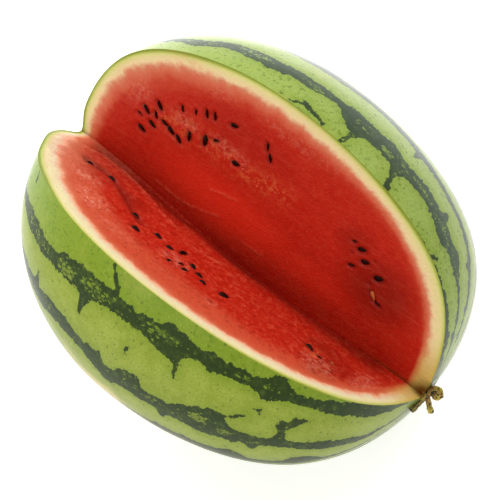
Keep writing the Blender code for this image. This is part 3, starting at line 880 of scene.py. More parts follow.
skin = {
    "span": (-140.0, 170.0),
    "front upper stripe": {
        "from": [(-135, -62), (-100, -62.5), (-80, -63), (-60, -62.8), (-40, -62), (-25, -61), (-14, -61),
                 (-12.5, -64), (-12, -67.5), (-9, -67.5), (-8, -64), (-6, -62), (-3, -60), (5, -59),
                 (15, -58.5), (30, -58.5), (37, -59), (42, -60), (48, -60.8), (58, -61.8), (60, -58.5),
                 (63, -57.5), (70, -57), (76, -58.2), (86, -57), (98, -57), (104, -58), (106, -60),
                 (112, -59), (118, -57.5), (130, -58), (138, -59.5), (144, -61), (150, -63), (158, -66),
                 (166, -68)],
        "to": [(-135, -56.5), (-88, -57.5), (-80, -56.5), (-66, -56.5), (-60, -57.5), (-40, -57),
               (-36, -55), (-28, -54), (-15, -53), (3, -52.5), (8, -51.5), (15, -53), (26, -53),
               (32, -52.3), (40, -52.5), (45, -50.5), (48, -50.2), (52, -51), (57, -50.8), (60, -52),
               (70, -52), (74, -51), (78, -52), (101, -51.8), (105, -51), (109, -48.3), (112, -48.3),
               (115, -50.5), (119, -52), (126, -52.8), (132, -52.5), (135, -51), (148, -51), (154, -52),
               (160, -54), (166, -55)],
    },
    "front lower stripe": {
        "from": [(-135, -82), (-100, -83), (-70, -83.5), (-45, -83), (-38, -81), (-15, -80), (3, -82),
                 (10, -84), (17, -86), (21, -86), (24, -84), (33, -83.3), (54, -84), (56, -87), (58, -87.5),
                 (60, -84.5), (73, -84.5), (80, -86), (90, -85.5), (97, -85), (100, -86.5), (104, -85),
                 (107, -85.5), (109, -88), (111, -88), (113, -85.5), (120, -84), (128, -84.3), (136, -86.5),
                 (143, -88), (150, -91), (155, -95), (166, -99)],
        "to": [(-135, -75), (-70, -76), (-60, -75.5), (-56, -74), (-54, -72), (-52, -72), (-50, -75.5),
               (-38, -73), (-22, -73), (-8, -75.2), (7, -75), (10, -73.5), (14, -77), (20, -77.5),
               (25, -76), (29, -74), (39, -73.5), (43, -77), (60, -77.5), (64, -76), (68, -74.5), (74, -74),
               (77, -71.5), (80, -72.5), (84, -71), (92, -71.3), (95, -75), (99, -77), (118, -78),
               (121, -73), (123, -73), (125, -77), (127, -78.3), (141, -79), (146, -80), (150, -82),
               (155, -87), (166, -92)],
    },
    "front low stripe": {
        "from": [(-135, -103), (-60, -104.5), (0, -105), (40, -104), (80, -105), (110, -106), (140, -108),
                 (166, -112)],
        "to": [(-135, -97), (0, -98), (30, -97), (50, -96), (52, -94), (54, -96), (66, -96), (70, -94.5),
               (74, -96), (88, -96), (97, -93), (100, -93), (104, -94.5), (108, -99), (124, -99),
               (130, -93.5), (134, -93.5), (138, -96), (141, -100), (150, -104), (166, -107)],
    },
    "rear upper stripe": {
        "from": [(-135, 22), (-80, 21.5), (-70, 20.3), (-66, 20), (-63, 21.5), (-58, 23), (-50, 24.8),
                 (-25, 25), (-18, 24.5), (-12, 25.5), (2, 27.2), (12, 27.5), (18, 28.5), (24, 29.5),
                 (34, 29), (38, 27), (42, 25.8), (48, 24.5), (54, 25), (58, 26.8), (76, 27), (84, 26),
                 (88, 28), (94, 29.3), (112, 29), (118, 27), (127, 26), (131, 28), (144, 29), (150, 31),
                 (158, 28), (166, 27)],
        "to": [(-135, 31), (-75, 27), (-68, 27), (-60, 29), (-50, 31), (-15, 32), (5, 33.3), (30, 33.5),
               (36, 35), (58, 35.3), (68, 36.8), (73, 36.5), (78, 35), (92, 35.8), (97, 37), (112, 36),
               (114.5, 37.5), (116, 40.5), (118, 39.5), (119, 37), (128, 35), (136, 37.3), (142, 34.5),
               (150, 34), (156, 35), (166, 34)],
    },
    "rear lower stripe": {
        "from": [(-135, 44), (-60, 43), (-23, 43), (13, 44), (49, 47), (70, 46.5), (76, 46), (78, 41.5),
                 (80, 41.5), (82, 45.5), (103, 45.5), (130, 46.3), (139, 45), (141, 42), (143, 45),
                 (166, 44)],
        "to": [(-135, 52), (-60, 52), (-23, 51), (13, 51.5), (49, 53), (78, 52), (103, 50), (130, 51),
               (166, 49)],
    },
    # tongues that grow out of the stripes: two ends, and half the width in millimetres at each
    "tongues": [(10, -52.5, 0.5, -46.6, 1.5, 0.8), (58, -61.5, 60, -66, 1.4, 0.6),
                (-53, -75.5, -53.5, -70, 1.3, 0.9), (93, -72.3, 102, -69.3, 1.3, 0.9),
                (122.5, -77.5, 122.5, -72, 1.5, 1.8), (122, -70.5, 127, -65.5, 3.0, 2.6),
                (120, -67.5, 123, -67.5, 1.0, 2.0), (128, -65, 131, -64.5, 0.8, 0.3),
                (51.5, 25.5, 50.5, 18.3, 1.7, 1.2), (81.5, 26.5, 84.5, 22.5, 1.3, 1.2),
                (84.5, 22.5, 87.5, 18.3, 1.4, 2.2), (12, 18.4, 19, 20.8, 0.9, 1.4),
                (19, 20.8, 36, 19.2, 1.6, 1.4), (-88, -47, -87, -50, 1.3, 0.8),
                (27.5, -66, 27.5, -68, 0.7, 0.5), (107, -64.5, 108.5, -66, 1.0, 0.6),
                (131, 20.5, 128, 18.3, 0.5, 0.8), (116, 17.8, 132, 18.2, 0.1, 0.6),
                (132, 18.2, 150, 18.2, 0.6, 2.0), (150, 18.2, 158, 16.3, 2.0, 3.0),
                (158, 16.3, 163, 9, 3.0, 4.0)],
    "farOutside": -50.0,
    "tongueSpread": 0.8,
    "tipSpread": 0.6,
    # where light green shows through a stripe: place, half size along and round, how much
    "lacePatches": [(-5, -56.5, 17, 3, 0.9), (42, -55, 18, 2, 0.8), (93, -54.3, 7, 1.2, 0.8),
                    (108, -54.3, 6, 1.3, 0.8), (-65, -59.5, 28, 2.4, 0.65), (-30, -58.5, 14, 2.6, 1.0),
                    (79, -78, 9, 3, 1), (95, -81, 6, 2.2, 1), (28, -79, 8, 2, 0.6), (52, -80, 12, 2, 0.5),
                    (-30, -76.5, 10, 1.5, 0.4), (112, -83, 5, 1.5, 0.7), (-70, -80, 22, 2.5, 0.5),
                    (70, 30.5, 8, 1.7, 1), (10, 30, 12, 2, 0.9), (-33, 29, 18, 2, 0.85),
                    (100, 33, 14, 1.6, 0.8), (50, 31, 12, 2, 0.7), (122, 32, 10, 1.8, 0.8),
                    (138, 32.5, 9, 1.6, 0.7)],
    "hiddenStripes": [-120, -143, -166, 171, 148, 125, 103, 81, 64],
    "hiddenSeed": 12,
    "groundSpot": {"x": -8, "turn": -118, "halfLength": 84, "halfTurn": 31},
    "lightGreen": srgb(140, 154, 46),
    "paleGreen": srgb(166, 178, 76),
    "topFrontGreen": srgb(116, 142, 28),
    "topRearGreen": srgb(153, 174, 88),
    "freshGreen": srgb(126, 148, 38),
    "darkGreen": srgb(56, 72, 30),
    "deepGreen": srgb(36, 52, 20),
    "middleGreen": srgb(92, 112, 44),
    "bloomGrey": srgb(96, 112, 104),
    "shadowGreen": srgb(90, 120, 28),
    "groundYellow": srgb(228, 204, 124),
    "scarBrown": srgb(84, 54, 26),
    "olive": srgb(92, 104, 32),
    "lumpSize": 0.045,
    "lumpHeight": 0.00035,
    "surface": {"IOR": 1.45, "Specular IOR Level": 0.13, "Coat Weight": 1.0, "Coat IOR": 1.05,
                "Coat Roughness": 0.08},
    "peelDepth": 0.00012,
    "roughness": 0.30,
    "roughSpread": 0.16,
    "stripeRoughness": 0.03,
    # noises that go from minus to plus a reach: the reach, then size, detail, roughness and seed
    "ragged": (3.0, 0.0065, 3.0, 0.65, 3.0),
    "spiky": (3.8, 1.0, 4.0, 0.62, 8.0),
    "spikesAlong": 0.36,
    "spikesAcross": 0.15,
    "fineLace": (0.4, 0.004, 2.0, 0.5, 15.0),
    "spotEdge": (0.85, 0.026, 4.0, 0.62, 31.0),
    "besideStripe": (4.0, 0.007, 2.0, 0.5, 5.0),
    "stemEdge": (0.003, 0.004, 3.0, 0.6, 61.0),
    # noises from 0 to 1: size, detail, roughness and seed
    "broadLace": (0.014, 2.0, 0.5, 21.0),
    "dust": (0.0013, 3.0, 0.7, 91.0),
    "patchy": (0.0034, 3.0, 0.65, 95.0),
    "faded": (0.0042, 3.0, 0.65, 57.0),
    "stripeTone": (0.003, 3.0, 0.6, 51.0),
    "gloss": (0.006, 3.0, 0.6, 71.0),
    "pores": (0.0009, 2.0, 0.6, 81.0),
    "peel": (0.0045, 2.0, 0.5, 83.0),
    # fades: the value where each one starts and where it ends, then the shares there if not 0 and 1
    "laceFade": (0.35, 0.75, 0.0, 0.6),
    "patchFade": (1.15, 0.45),
    "netFade": (-0.05, 0.13),
    "netInside": (0.2, 1.8, 0.0, 0.75),
    "stripeFade": (-0.35, 0.35),
    "spotFade": (0.15, 0.95),
    "topFade": (63.0, 52.0),
    "besideFade": (-9.0, 1.0, 0.0, 0.5),
    "patchyFade": (0.54, 0.70, 0.0, 0.7),
    "patchyTop": (66.0, 50.0, 0.25, 1.0),
    "dustFresh": (0.50, 0.62, 0.0, 0.6),
    "dustPale": (0.46, 0.34, 0.0, 0.5),
    "fadedFade": (0.46, 0.66, 0.0, 0.75),
    "bloomFade": (10.0, 34.0, 0.0, 0.26),
    "stemOlive": (0.034, 0.010, 0.0, 0.85),
    "stemScar": (0.0095, 0.0055),
    "blossomOlive": (0.016, 0.005, 0.0, 0.6),
    "blossomScar": (0.0055, 0.0040),
    # dots, dashes and the net in the stripes: their sizes, and how they are pushed about and stretched
    "dotShare": 0.45,
    "dashShare": 0.55,
    "dots": {"Spacing": 0.0032, "Radius": 0.00075, "Share": 0.42},
    "dashes": {"Spacing": 0.0075, "Radius": 0.0007, "Share": 0.16},
    "blotch": {"Size": 0.016, "Fineness": 3.2, "Contrast": 1.0},
    "netSize": 0.0021,
    "netJiggle": (0.0035, 0.0032),
    "netStretch": (0.55, 1.0, 1.0),
    "dashJiggle": (0.006, 0.003),
    "dashStretch": (1.0, 0.45, 0.45),
}


def hiddenEdges(middle, random):
    # the two edges of a stripe on the side that the camera doesn't see
    places = np.arange(skin["span"][0] + 5, skin["span"][1] - 3, 11.0)
    drift = np.cumsum(random.normal(0, 0.45, len(places)))
    drift -= np.linspace(drift[0], drift[-1], len(places))
    low, high = [], []
    for place, shift in zip(places, drift):
        spikes = np.where(random.random(2) < 0.16, random.uniform(1.5, 4.0, 2), 0.0)
        half = random.uniform(2.4, 4.2, 2) + spikes
        low.append((place, max(middle + shift - half[0], -179)))
        high.append((place, min(middle + shift + half[1], 179)))
    return low, high


def buildTongue():
    # how far inside a tapered streak a point is, in millimetres
    tree, given, made = newGroup(
        "tongue",
        [("Place", "Vector", None), ("Start", "Vector", (0, 0, 0)), ("End", "Vector", (0, 0, 0)),
         ("Width", "Float", 1.0), ("Tip Width", "Float", 1.0)],
        ("Inside", "Float"),
    )
    away = vectorCalc("SUBTRACT", given["Place"], given["Start"])
    line = vectorCalc("SUBTRACT", given["End"], given["Start"])
    along, whole = vectorCalc("DOT_PRODUCT", away, line), vectorCalc("DOT_PRODUCT", line, line)
    share = calc("DIVIDE", along, whole, clamp=True)
    distance = vectorCalc("DISTANCE", away, vectorCalc("SCALE", line, share))
    width = given["Width"] + share * (given["Tip Width"] - given["Width"])
    wire(made, width - distance)
    return tree


def buildPatch():
    # a soft oval patch
    tree, given, made = newGroup(
        "patch",
        [("Place", "Vector", None), ("Middle", "Vector", (0, 0, 0)), ("Half Size", "Vector", (1, 1, 1)),
         ("Amount", "Float", 1.0)],
        ("Value", "Float"),
    )
    away = vectorCalc("SUBTRACT", given["Place"], given["Middle"])
    away = vectorCalc("LENGTH", vectorCalc("DIVIDE", away, given["Half Size"]))
    wire(made, rescale(away, *skin["patchFade"]) * given["Amount"])
    return tree


tongue, patch = buildTongue(), buildPatch()


def skinChart(place):
    # millimetres along the melon, degrees round it and how many millimetres a degree is there
    metres, y, z = split(place)
    x = metres * 1000.0
    stemLength, blossomLength = melon["stemEndLength"] / mm, melon["blossomEndLength"] / mm
    end = x / (calc("GREATER_THAN", x, 0.0) * (stemLength - blossomLength) + blossomLength)
    belly = 1.0 - end * end
    y = y - (belly * melon["bellySideways"] + poleSideways)
    z = z - (belly * (-melon["bellyDrop"]) + poleHeight)
    turn = calc("ARCTAN2", y / melon["halfWidth"], z / melon["halfHeight"]) * (180 / math.pi)
    return x, turn, vectorCalc("LENGTH", join(y, z)) * (math.pi / 180 / mm)


def insideStripes(x, turn, perDegree):
    # millimetres inside the stripe or tongue that a point is in, and less than none outside
    first, last = skin["span"]
    along = (x - first) / (last - first)
    inside = skin["farOutside"]
    random = np.random.default_rng(skin["hiddenSeed"])
    pairs = [(part["from"], part["to"]) for name, part in skin.items() if name.endswith("stripe")]
    pairs += [hiddenEdges(middle, random) for middle in skin["hiddenStripes"]]
    for pair in pairs:
        shares = [[((px - first) / (last - first), (pt + 180) / 360) for px, pt in edge] for edge in pair]
        low, high = (drawnLine(along, share) * 360.0 - 180.0 for share in shares)
        inside = calc("MAXIMUM", inside, calc("MINIMUM", turn - low, high - turn) * perDegree)
    chart = join(x, turn * perDegree)
    for x1, turn1, x2, turn2, width, tipWidth in skin["tongues"]:
        start, finish = join(x1, perDegree * turn1), join(x2, perDegree * turn2)
        wider, tip = width + skin["tongueSpread"], tipWidth + skin["tipSpread"]
        streak = placeGroup(tongue, Place=chart, Start=start, End=finish, Width=wider, TipWidth=tip)
        inside = calc("MAXIMUM", inside, streak)
    return inside


def laceShare(place, turnChart):
    # how much light green shows through the stripes
    laced = 0.0
    for x, turn, halfX, halfTurn, amount in skin["lacePatches"]:
        half = (halfX, halfTurn, 1)
        lace = placeGroup(patch, Place=turnChart, Middle=(x, turn, 0), HalfSize=half, Amount=amount)
        laced = calc("MAXIMUM", laced, lace)
    laced = calc("MAXIMUM", laced, rescale(grain(place, *skin["broadLace"]), *skin["laceFade"]))
    return laced + wander(place, *skin["fineLace"])


def buildSkin():
    material, shader, place = newMaterial("striped melon skin")
    x, turn, perDegree = skinChart(place)
    inside = insideStripes(x, turn, perDegree)
    turnChart = join(x, turn)
    laced = laceShare(place, turnChart)

    # ragged edges with spikes across the stripe, then a network where the light green shows through
    spikes = join(x * skin["spikesAlong"], turn * perDegree * skin["spikesAcross"])
    edge = inside - 0.5 + wander(place, *skin["ragged"]) + wander(spikes, *skin["spiky"])
    bent = vectorCalc("MULTIPLY", jiggled(place, *skin["netJiggle"]), skin["netStretch"])
    network = cells(bent, skin["netSize"], "DISTANCE_TO_EDGE", 2.0)
    window = rescale(network - (0.40 - laced * 0.36), *skin["netFade"]) * rescale(edge, *skin["netInside"])
    dark = rescale(edge, *skin["stripeFade"]) * (1.0 - window)

    # the yellow spot that lay on the ground, where the stripes fade
    ground = skin["groundSpot"]
    half = (ground["halfLength"], ground["halfTurn"], 1)
    middle = (ground["x"], ground["turn"], 0)
    spot = placeGroup(patch, Place=turnChart, Middle=middle, HalfSize=half, Amount=1.0)
    spotShare = rescale(spot + wander(place, *skin["spotEdge"]), *skin["spotFade"])
    dark = dark * (1.0 - spotShare * 0.8)

    # the light green: near the cuts painted darker on the front and lighter on the rear, as shade and light
    # fall there; darker beside the stripes, with blotches, dots and dashes
    blotch = placeGroup(mottle, Vector=place, **skin["blotch"])
    light = tint(blotch, skin["lightGreen"], skin["paleGreen"])
    onRear = calc("GREATER_THAN", turn, 0.0)
    # painted shade on the front side's band near the cut, painted light on the rear's
    top = tint(onRear, skin["topFrontGreen"], skin["topRearGreen"])
    top = tint(blotch * 0.3, top, skin["paleGreen"])
    light = tint(rescale(calc("ABSOLUTE", turn), *skin["topFade"]), light, top)
    beside = rescale(inside + wander(place, *skin["besideStripe"]), *skin["besideFade"])
    dust = grain(place, *skin["dust"])
    patchy = rescale(grain(place, *skin["patchy"]), *skin["patchyFade"])
    patchy = patchy * rescale(calc("ABSOLUTE", turn), *skin["patchyTop"])
    dots = placeGroup(specks, Vector=place, **skin["dots"])
    stretched = vectorCalc("MULTIPLY", jiggled(place, *skin["dashJiggle"]), skin["dashStretch"])
    dashes = placeGroup(specks, Vector=stretched, **skin["dashes"])
    light = layered(
        light, skin,
        (beside, "freshGreen"),
        (rescale(dust, *skin["dustFresh"]), "freshGreen"),
        (rescale(dust, *skin["dustPale"]), "paleGreen"),
        (patchy, "shadowGreen"),
        (calc("MAXIMUM", dots * skin["dotShare"], dashes * skin["dashShare"]), "darkGreen"),
        (spotShare * 0.9, "groundYellow"),
    )
    faded = rescale(grain(place, *skin["faded"]), *skin["fadedFade"])
    faded = faded * calc("MULTIPLY_ADD", laced, 0.8, 0.2, clamp=True)
    stripe = layered(
        skin["deepGreen"], skin,
        (grain(place, *skin["stripeTone"]), "darkGreen"),
        (faded, "middleGreen"),
        # painted sheen: the stripes greyer on the rear side, where they face the light
        (rescale(turn, *skin["bloomFade"]), "bloomGrey"),
    )
    colour = tint(dark, light, stripe)

    # the two ends
    fromStem = vectorCalc("DISTANCE", place, stemBase()) + wander(place, *skin["stemEdge"])
    fromBlossom = vectorCalc("DISTANCE", place, blossomTip)
    colour = layered(
        colour, skin,
        (rescale(fromStem, *skin["stemOlive"]), "olive"),
        (rescale(fromStem, *skin["stemScar"]), "scarBrown"),
        (rescale(fromBlossom, *skin["blossomOlive"]), "olive"),
        (rescale(fromBlossom, *skin["blossomScar"]), "scarBrown"),
    )
    wire(shader["Base Color"], colour)

    gloss = grain(place, *skin["gloss"]) * skin["roughSpread"] + skin["roughness"]
    wire(shader["Roughness"], gloss + dark * skin["stripeRoughness"])
    setSurface(shader, skin["surface"])
    addBump(shader, grain(place, *skin["pores"]) * 0.4 + grain(place, *skin["peel"]), skin["peelDepth"])
    return material


# The cut flesh: rind, then red that deepens towards the heart

flesh = {
    # colours from the skin inwards, with millimetres under it
    "underSkin": [(0.0, srgb(138, 153, 54)), (0.9, srgb(176, 184, 84)), (1.8, srgb(206, 208, 118)),
                  (2.8, srgb(220, 215, 136))],
    # colours across the end of the rind, with millimetres past it
    "rearRind": [(-5.0, srgb(232, 218, 154)), (-2.4, srgb(238, 216, 162)), (-1.2, srgb(236, 200, 152)),
                 (0.0, srgb(226, 166, 124)), (1.2, srgb(216, 134, 98)), (3.0, srgb(216, 114, 82)),
                 (6.0, srgb(208, 94, 64)), (9.5, srgb(200, 66, 40))],
    "frontRind": [(-6.0, srgb(234, 226, 174)), (-3.4, srgb(234, 216, 176)), (-1.8, srgb(236, 198, 160)),
                  (0.0, srgb(238, 164, 126)), (1.0, srgb(222, 132, 96)), (2.2, srgb(210, 106, 74)),
                  (5.0, srgb(206, 88, 58)), (9.5, srgb(203, 78, 50))],
    "red": srgb(190, 40, 22),
    "heartRed": srgb(184, 31, 15),
    "brightRed": srgb(226, 50, 28),
    "creaseRed": srgb(78, 13, 7),
    "fleckPink": srgb(236, 152, 130),
    "paleRed": srgb(220, 116, 84),
    "stringGold": srgb(206, 94, 50),
    "tearPink": srgb(212, 88, 58),
    "darkRed": srgb(96, 14, 9),
    "blossomPink": srgb(182, 104, 78),
    "stemTan": srgb(208, 170, 84),
    "stemOlive": srgb(104, 92, 26),
    "stemBrown": srgb(112, 62, 20),
    "grainSize": 0.005,
    "grainHeight": 0.00011,
    "surface": {"IOR": 1.38, "Specular IOR Level": 0.16, "Subsurface Weight": 0.12,
                "Subsurface Radius": (1.0, 0.3, 0.2), "Subsurface Scale": 0.002},
    "roughness": 0.34,
    "roughSpread": 0.18,
    "pulpDepth": 0.00022,
    "pulpSize": 0.0016,
    "blotch": {"Size": 0.010, "Fineness": 3.5, "Contrast": 1.0},
    "fine": {"Size": 0.0036, "Fineness": 3.0, "Contrast": 1.2},
    "grains": {"Spacing": 0.0026, "Radius": 0.0007, "Share": 0.45},
    # how fine the knife marks are along the melon and across it
    "knifeMarks": (70, 620, 620),
    "broadMarks": (22, 210, 210),
    # noises: size, detail, roughness and seed
    "fringe": (1.0, 3.0, 0.65, 2.0),
    "waves": (1.0, 2.0, 0.5, 5.0),
    "knife": (1.0, 3.0, 0.6, 7.0),
    "swaths": (1.0, 2.0, 0.55, 11.0),
    "sparkle": (0.0011, 2.0, 0.7, 9.0),
    "pinkBits": (0.0024, 3.0, 0.7, 19.0),
    "strands": (1.0, 3.0, 0.6, 17.0),
    # fades: the value where each one starts and where it ends, then the shares there if not 0 and 1
    "frontEnd": (-0.055, -0.115),
    "underFade": (1.7, 4.6),
    "withinFade": (3.0, 11.0),
    "heartFade": (0.05, 0.95),
    "pinkMottle": (0.50, 0.90, 0.0, 0.50),
    "pinkMarks": (1.05, 1.4),
    "darkMottle": (0.45, 0.05, 0.0, 0.32),
    "darkMarks": (0.95, 0.65),
    "bitFade": (0.47, 0.62, 0.0, 0.8),
    "dullFade": (0.4, 1.6, 0.12, 0.36),
    "paleFade": (0.7, 1.3),
    "stringFade": (0.3, 1.0, 0.0, 0.75),
    "tearFade": (0.25, 0.75, 0.05, 0.38),
    "hollowFade": (0.0, 0.7, 0.4, 0.85),
    "sparkleFade": (0.64, 0.74),
    "creaseFade": (-1.0, 5.0),
    "dullUnder": (0.8, 3.0),
    "tanNearStem": (0.049, 0.010, 0.0, 0.85),
    "tanPastRind": (9.0, -1.0),
    "oliveNearStem": (0.0135, 0.0065, 0.0, 0.6),
    "brownNearStem": (0.0090, 0.0045, 0.0, 0.9),
}


def buildFlesh():
    material, shader, place = newMaterial("wet red flesh")
    fromSkin, pastRind = meshValue(place, "fromSkin"), meshValue(place, "pastRind")
    sweep, side = meshValue(place, "sweep"), meshValue(place, "side")

    # streaks that run in from the rim, and long ones that the knife drew
    inward = join(sweep * 46.0, pastRind * 0.20, side)
    fringe = grain(inward, *flesh["fringe"])
    broad = join(sweep * 12.0, pastRind * 0.06, side)
    waves = grain(broad, *flesh["waves"])
    knife = grain(vectorCalc("MULTIPLY", place, flesh["knifeMarks"]), *flesh["knife"])
    swaths = grain(vectorCalc("MULTIPLY", place, flesh["broadMarks"]), *flesh["swaths"])
    blotch = placeGroup(mottle, Vector=place, **flesh["blotch"])
    fine = placeGroup(mottle, Vector=place, **flesh["fine"])
    # painted glints: pale specks as of light on wet grains
    sparkle = grain(place, *flesh["sparkle"])

    # the rind, with a wandering and feathered inner border
    front, rear = calc("GREATER_THAN", side, 1.5), calc("LESS_THAN", side, 1.5)
    frontEnd = front * rescale(split(place)[0], *flesh["frontEnd"])
    feather = ((fringe + blotch) * 2.2 - 2.2) * (1.0 - frontEnd * 0.55)
    past = pastRind + waves * 6.0 - 3.0 + feather
    colour = tint(rear, stops(past, flesh["frontRind"]), stops(past, flesh["rearRind"]))
    under = fromSkin + fringe * 0.8 - 0.4
    colour = tint(rescale(under, *flesh["underFade"]), stops(under, flesh["underSkin"]), colour)

    # deeper red inside, uneven where the knife pressed
    within = rescale(past, *flesh["withinFade"])
    heart = rescale(meshValue(place, "heart") + (fringe + swaths) * 0.5 - 0.5, *flesh["heartFade"])
    colour = tint(heart * within, colour, tint(blotch, flesh["heartRed"], flesh["red"]))
    drawn = knife + swaths
    mottled = 1.0 - rear * 0.75
    pinker = rescale(fine, *flesh["pinkMottle"]) * mottled
    pinker = calc("MAXIMUM", rescale(drawn, *flesh["pinkMarks"]) * 0.30, pinker)
    darker = rescale(fine, *flesh["darkMottle"]) * mottled
    darker = calc("MAXIMUM", rescale(drawn, *flesh["darkMarks"]) * 0.14, darker)

    # pale patches, gold strings, tears with a painted highlight on the crests, painted shade in the hollows,
    # painted glints, painted light, and painted shade along the crease over a deeper red
    pale, strings = meshValue(place, "pale"), meshValue(place, "strings")
    bits = rescale(grain(place, *flesh["pinkBits"]), *flesh["bitFade"])
    grains = placeGroup(specks, Vector=place, **flesh["grains"])
    dull = frontEnd * rescale(blotch + fine, *flesh["dullFade"])
    colour = layered(
        colour, flesh,
        (pinker * within, "tearPink"),
        (darker * within, "darkRed"),
        # painted light on the rear face near the crease
        (meshValue(place, "bright") * within, "brightRed"),
        (pale * rescale(fringe + fine, *flesh["paleFade"]) * 0.75, "paleRed"),
        (bits * (pale * within), "fleckPink"),
        (strings * rescale(fine, *flesh["stringFade"]), "stringGold"),
        (grains * (strings * 0.6), "paleRed"),
        # paler tears, with a painted highlight on the crests
        (meshValue(place, "tear") * rescale(fine, *flesh["tearFade"]), "paleRed"),
        # painted shade in the grooves and round the seeds; darker in the pits
        (meshValue(place, "dark") * rescale(fine, *flesh["hollowFade"]), "darkRed"),
        # painted glints on the wet flesh
        (rescale(sparkle, *flesh["sparkleFade"]) * within * 0.30, "paleRed"),
        # painted shade along the crease and in the ovals, over a deeper red
        (meshValue(place, "deep") * rescale(past, *flesh["creaseFade"]), "creaseRed"),
        (dull * rescale(under, *flesh["dullUnder"]), "blossomPink"),  # duller towards the blossom end
    )

    # tan, then brown, where the two cuts run out beside the stem
    fromStem = vectorCalc("DISTANCE", place, stemBase())
    strands = grain(join(sweep * 34.0, side), *flesh["strands"])
    tan = rescale(fromStem + strands * 0.024 - 0.012, *flesh["tanNearStem"])
    closer = fromStem + strands * 0.008 - 0.004
    colour = layered(
        colour, flesh,
        (tan * rescale(past, *flesh["tanPastRind"]), "stemTan"),
        (rescale(closer, *flesh["oliveNearStem"]), "stemOlive"),
        (rescale(closer, *flesh["brownNearStem"]), "stemBrown"),
        (meshValue(place, "seam") * 0.55, "stemBrown"),
    )
    wire(shader["Base Color"], colour)

    wire(shader["Roughness"], blotch * flesh["roughSpread"] + flesh["roughness"])
    setSurface(shader, flesh["surface"])
    pulp = cells(place, flesh["pulpSize"], "F1", 3.0)
    addBump(shader, pulp * 0.8 + knife * 0.8 + fringe, flesh["pulpDepth"])
    return material


# The seeds, each on its own place, set by points

seed = {
    "segments": 20,
    "rings": 12,
    "length": 0.0070,
    "width": 0.0044,
    "thickness": 0.0024,
    "taper": 0.30,
    "rim": 0.10,
    "blotch": {"Size": 0.0022, "Fineness": 3.0, "Contrast": 1.2},
    "sunk": 0.0003,
    "pale": ["seed_rear_26", "seed_front_17"],
    "faint": ["seed_front_01", "seed_front_02", "seed_front_03", "seed_rear_02", "seed_rear_13"],
    "faintSunk": 0.0008,
    "toneSeed": 5,
    "palestDark": 0.25,  # the palest tone among the dark seeds
    "black": srgb(15, 5, 4),
    "brown": srgb(46, 13, 8),
    "cream": srgb(186, 96, 50),
    "juice": srgb(126, 20, 12),
    "surface": {"IOR": 1.40, "Specular IOR Level": 0.08},
    "roughness": 0.25,
    "roughSpread": 0.25,
    "coatDepth": 0.00012,
    # fades: the value where each one starts and where it ends, then the shares there if not 0 and 1
    "creamFade": (0.2, 0.9),
    "juiceFade": (-0.0002, -0.0007),
}


def buildSeedTree():
    tree, given, made = geometryTree("seeds on points", [
        ("Taper", "Float", seed["taper"]), ("Rim", "Float", seed["rim"]), ("Seed Finish", "Material", None),
    ])
    ball = step(tree, "MeshUVSphere", Segments=seed["segments"], Rings=seed["rings"], Radius=0.5)
    x, y, z = split(step(tree, "InputPosition"))
    narrowing = 1.0 - x * 2.0 * given["Taper"]
    edge = calc("POWER", calc("ABSOLUTE", y) * 2.0, 3.0) * given["Rim"]
    shaped = join(x, y * narrowing, z * (narrowing * 0.9 + edge))
    ball = step(tree, "SetPosition", Geometry=ball, Position=shaped)
    ball = step(tree, "SetShadeSmooth", Geometry=ball, ShadeSmooth=True)
    facing, grown = (storedValue(tree, name, "FLOAT_VECTOR") for name in ("facing", "grown"))
    turned = addNode("FunctionNodeEulerToRotation", {"Euler": facing})[0]
    placed = step(tree, "InstanceOnPoints", Points=given["Geometry"], Instance=ball, Rotation=turned,
                  Scale=grown)
    wire(made, finished(tree, placed, given["Seed Finish"]))
    return tree


def seedPoints():
    mesh = bpy.data.meshes.new("seedPoints")
    sunk = [seed["faintSunk"] if one["name"] in seed["faint"] else seed["sunk"] for one in seeds]
    middles = [one["middle"] - one["outward"] * depth for one, depth in zip(seeds, sunk)]
    mesh.from_pydata([tuple(middle) for middle in middles], [], [])
    facing, grown, tones = [], [], []
    random = np.random.default_rng(seed["toneSeed"])
    for one in seeds:
        facing.append(Matrix(one["axes"].tolist()).to_euler())
        scale = one["length"] / seed["length"]
        grown.append([one["length"], seed["width"] * scale, seed["thickness"] * scale])
        tones.append(1.0 if one["name"] in seed["pale"] else random.uniform(0.0, seed["palestDark"]))
    keepValues(mesh, "tone", tones)
    vectors = {"facing": facing, "grown": grown}
    for name, key in (("cutSurface", "middle"), ("outward", "outward")):
        vectors[name] = [one[key] for one in seeds]
    for name, values in vectors.items():
        keepValues(mesh, name, np.ravel(values), "FLOAT_VECTOR")
    return mesh


def buildSeedFinish():
    material, shader, place = newMaterial("glossy seed coat")
    tone = meshValue(place, "tone")
    away = vectorCalc("SUBTRACT", place, meshValue(place, "cutSurface", output=1))
    rise = vectorCalc("DOT_PRODUCT", away, meshValue(place, "outward", output=1))
    blotch = placeGroup(mottle, Vector=place, **seed["blotch"])
    wet = rise + blotch * 0.0004 - 0.0002
    colour = layered(
        seed["black"], seed,
        (blotch * 0.8, "brown"),
        (rescale(tone, *seed["creamFade"]), "cream"),
        (rescale(wet, *seed["juiceFade"]), "juice"),
    )
    wire(shader["Base Color"], colour)
    wire(shader["Roughness"], blotch * seed["roughSpread"] + seed["roughness"])
    setSurface(shader, seed["surface"])
    addBump(shader, blotch, seed["coatDepth"])
    return material


# The dried stem: a knob and three broken stubs, as runs of (x, y, z, radius) in millimetres from its base

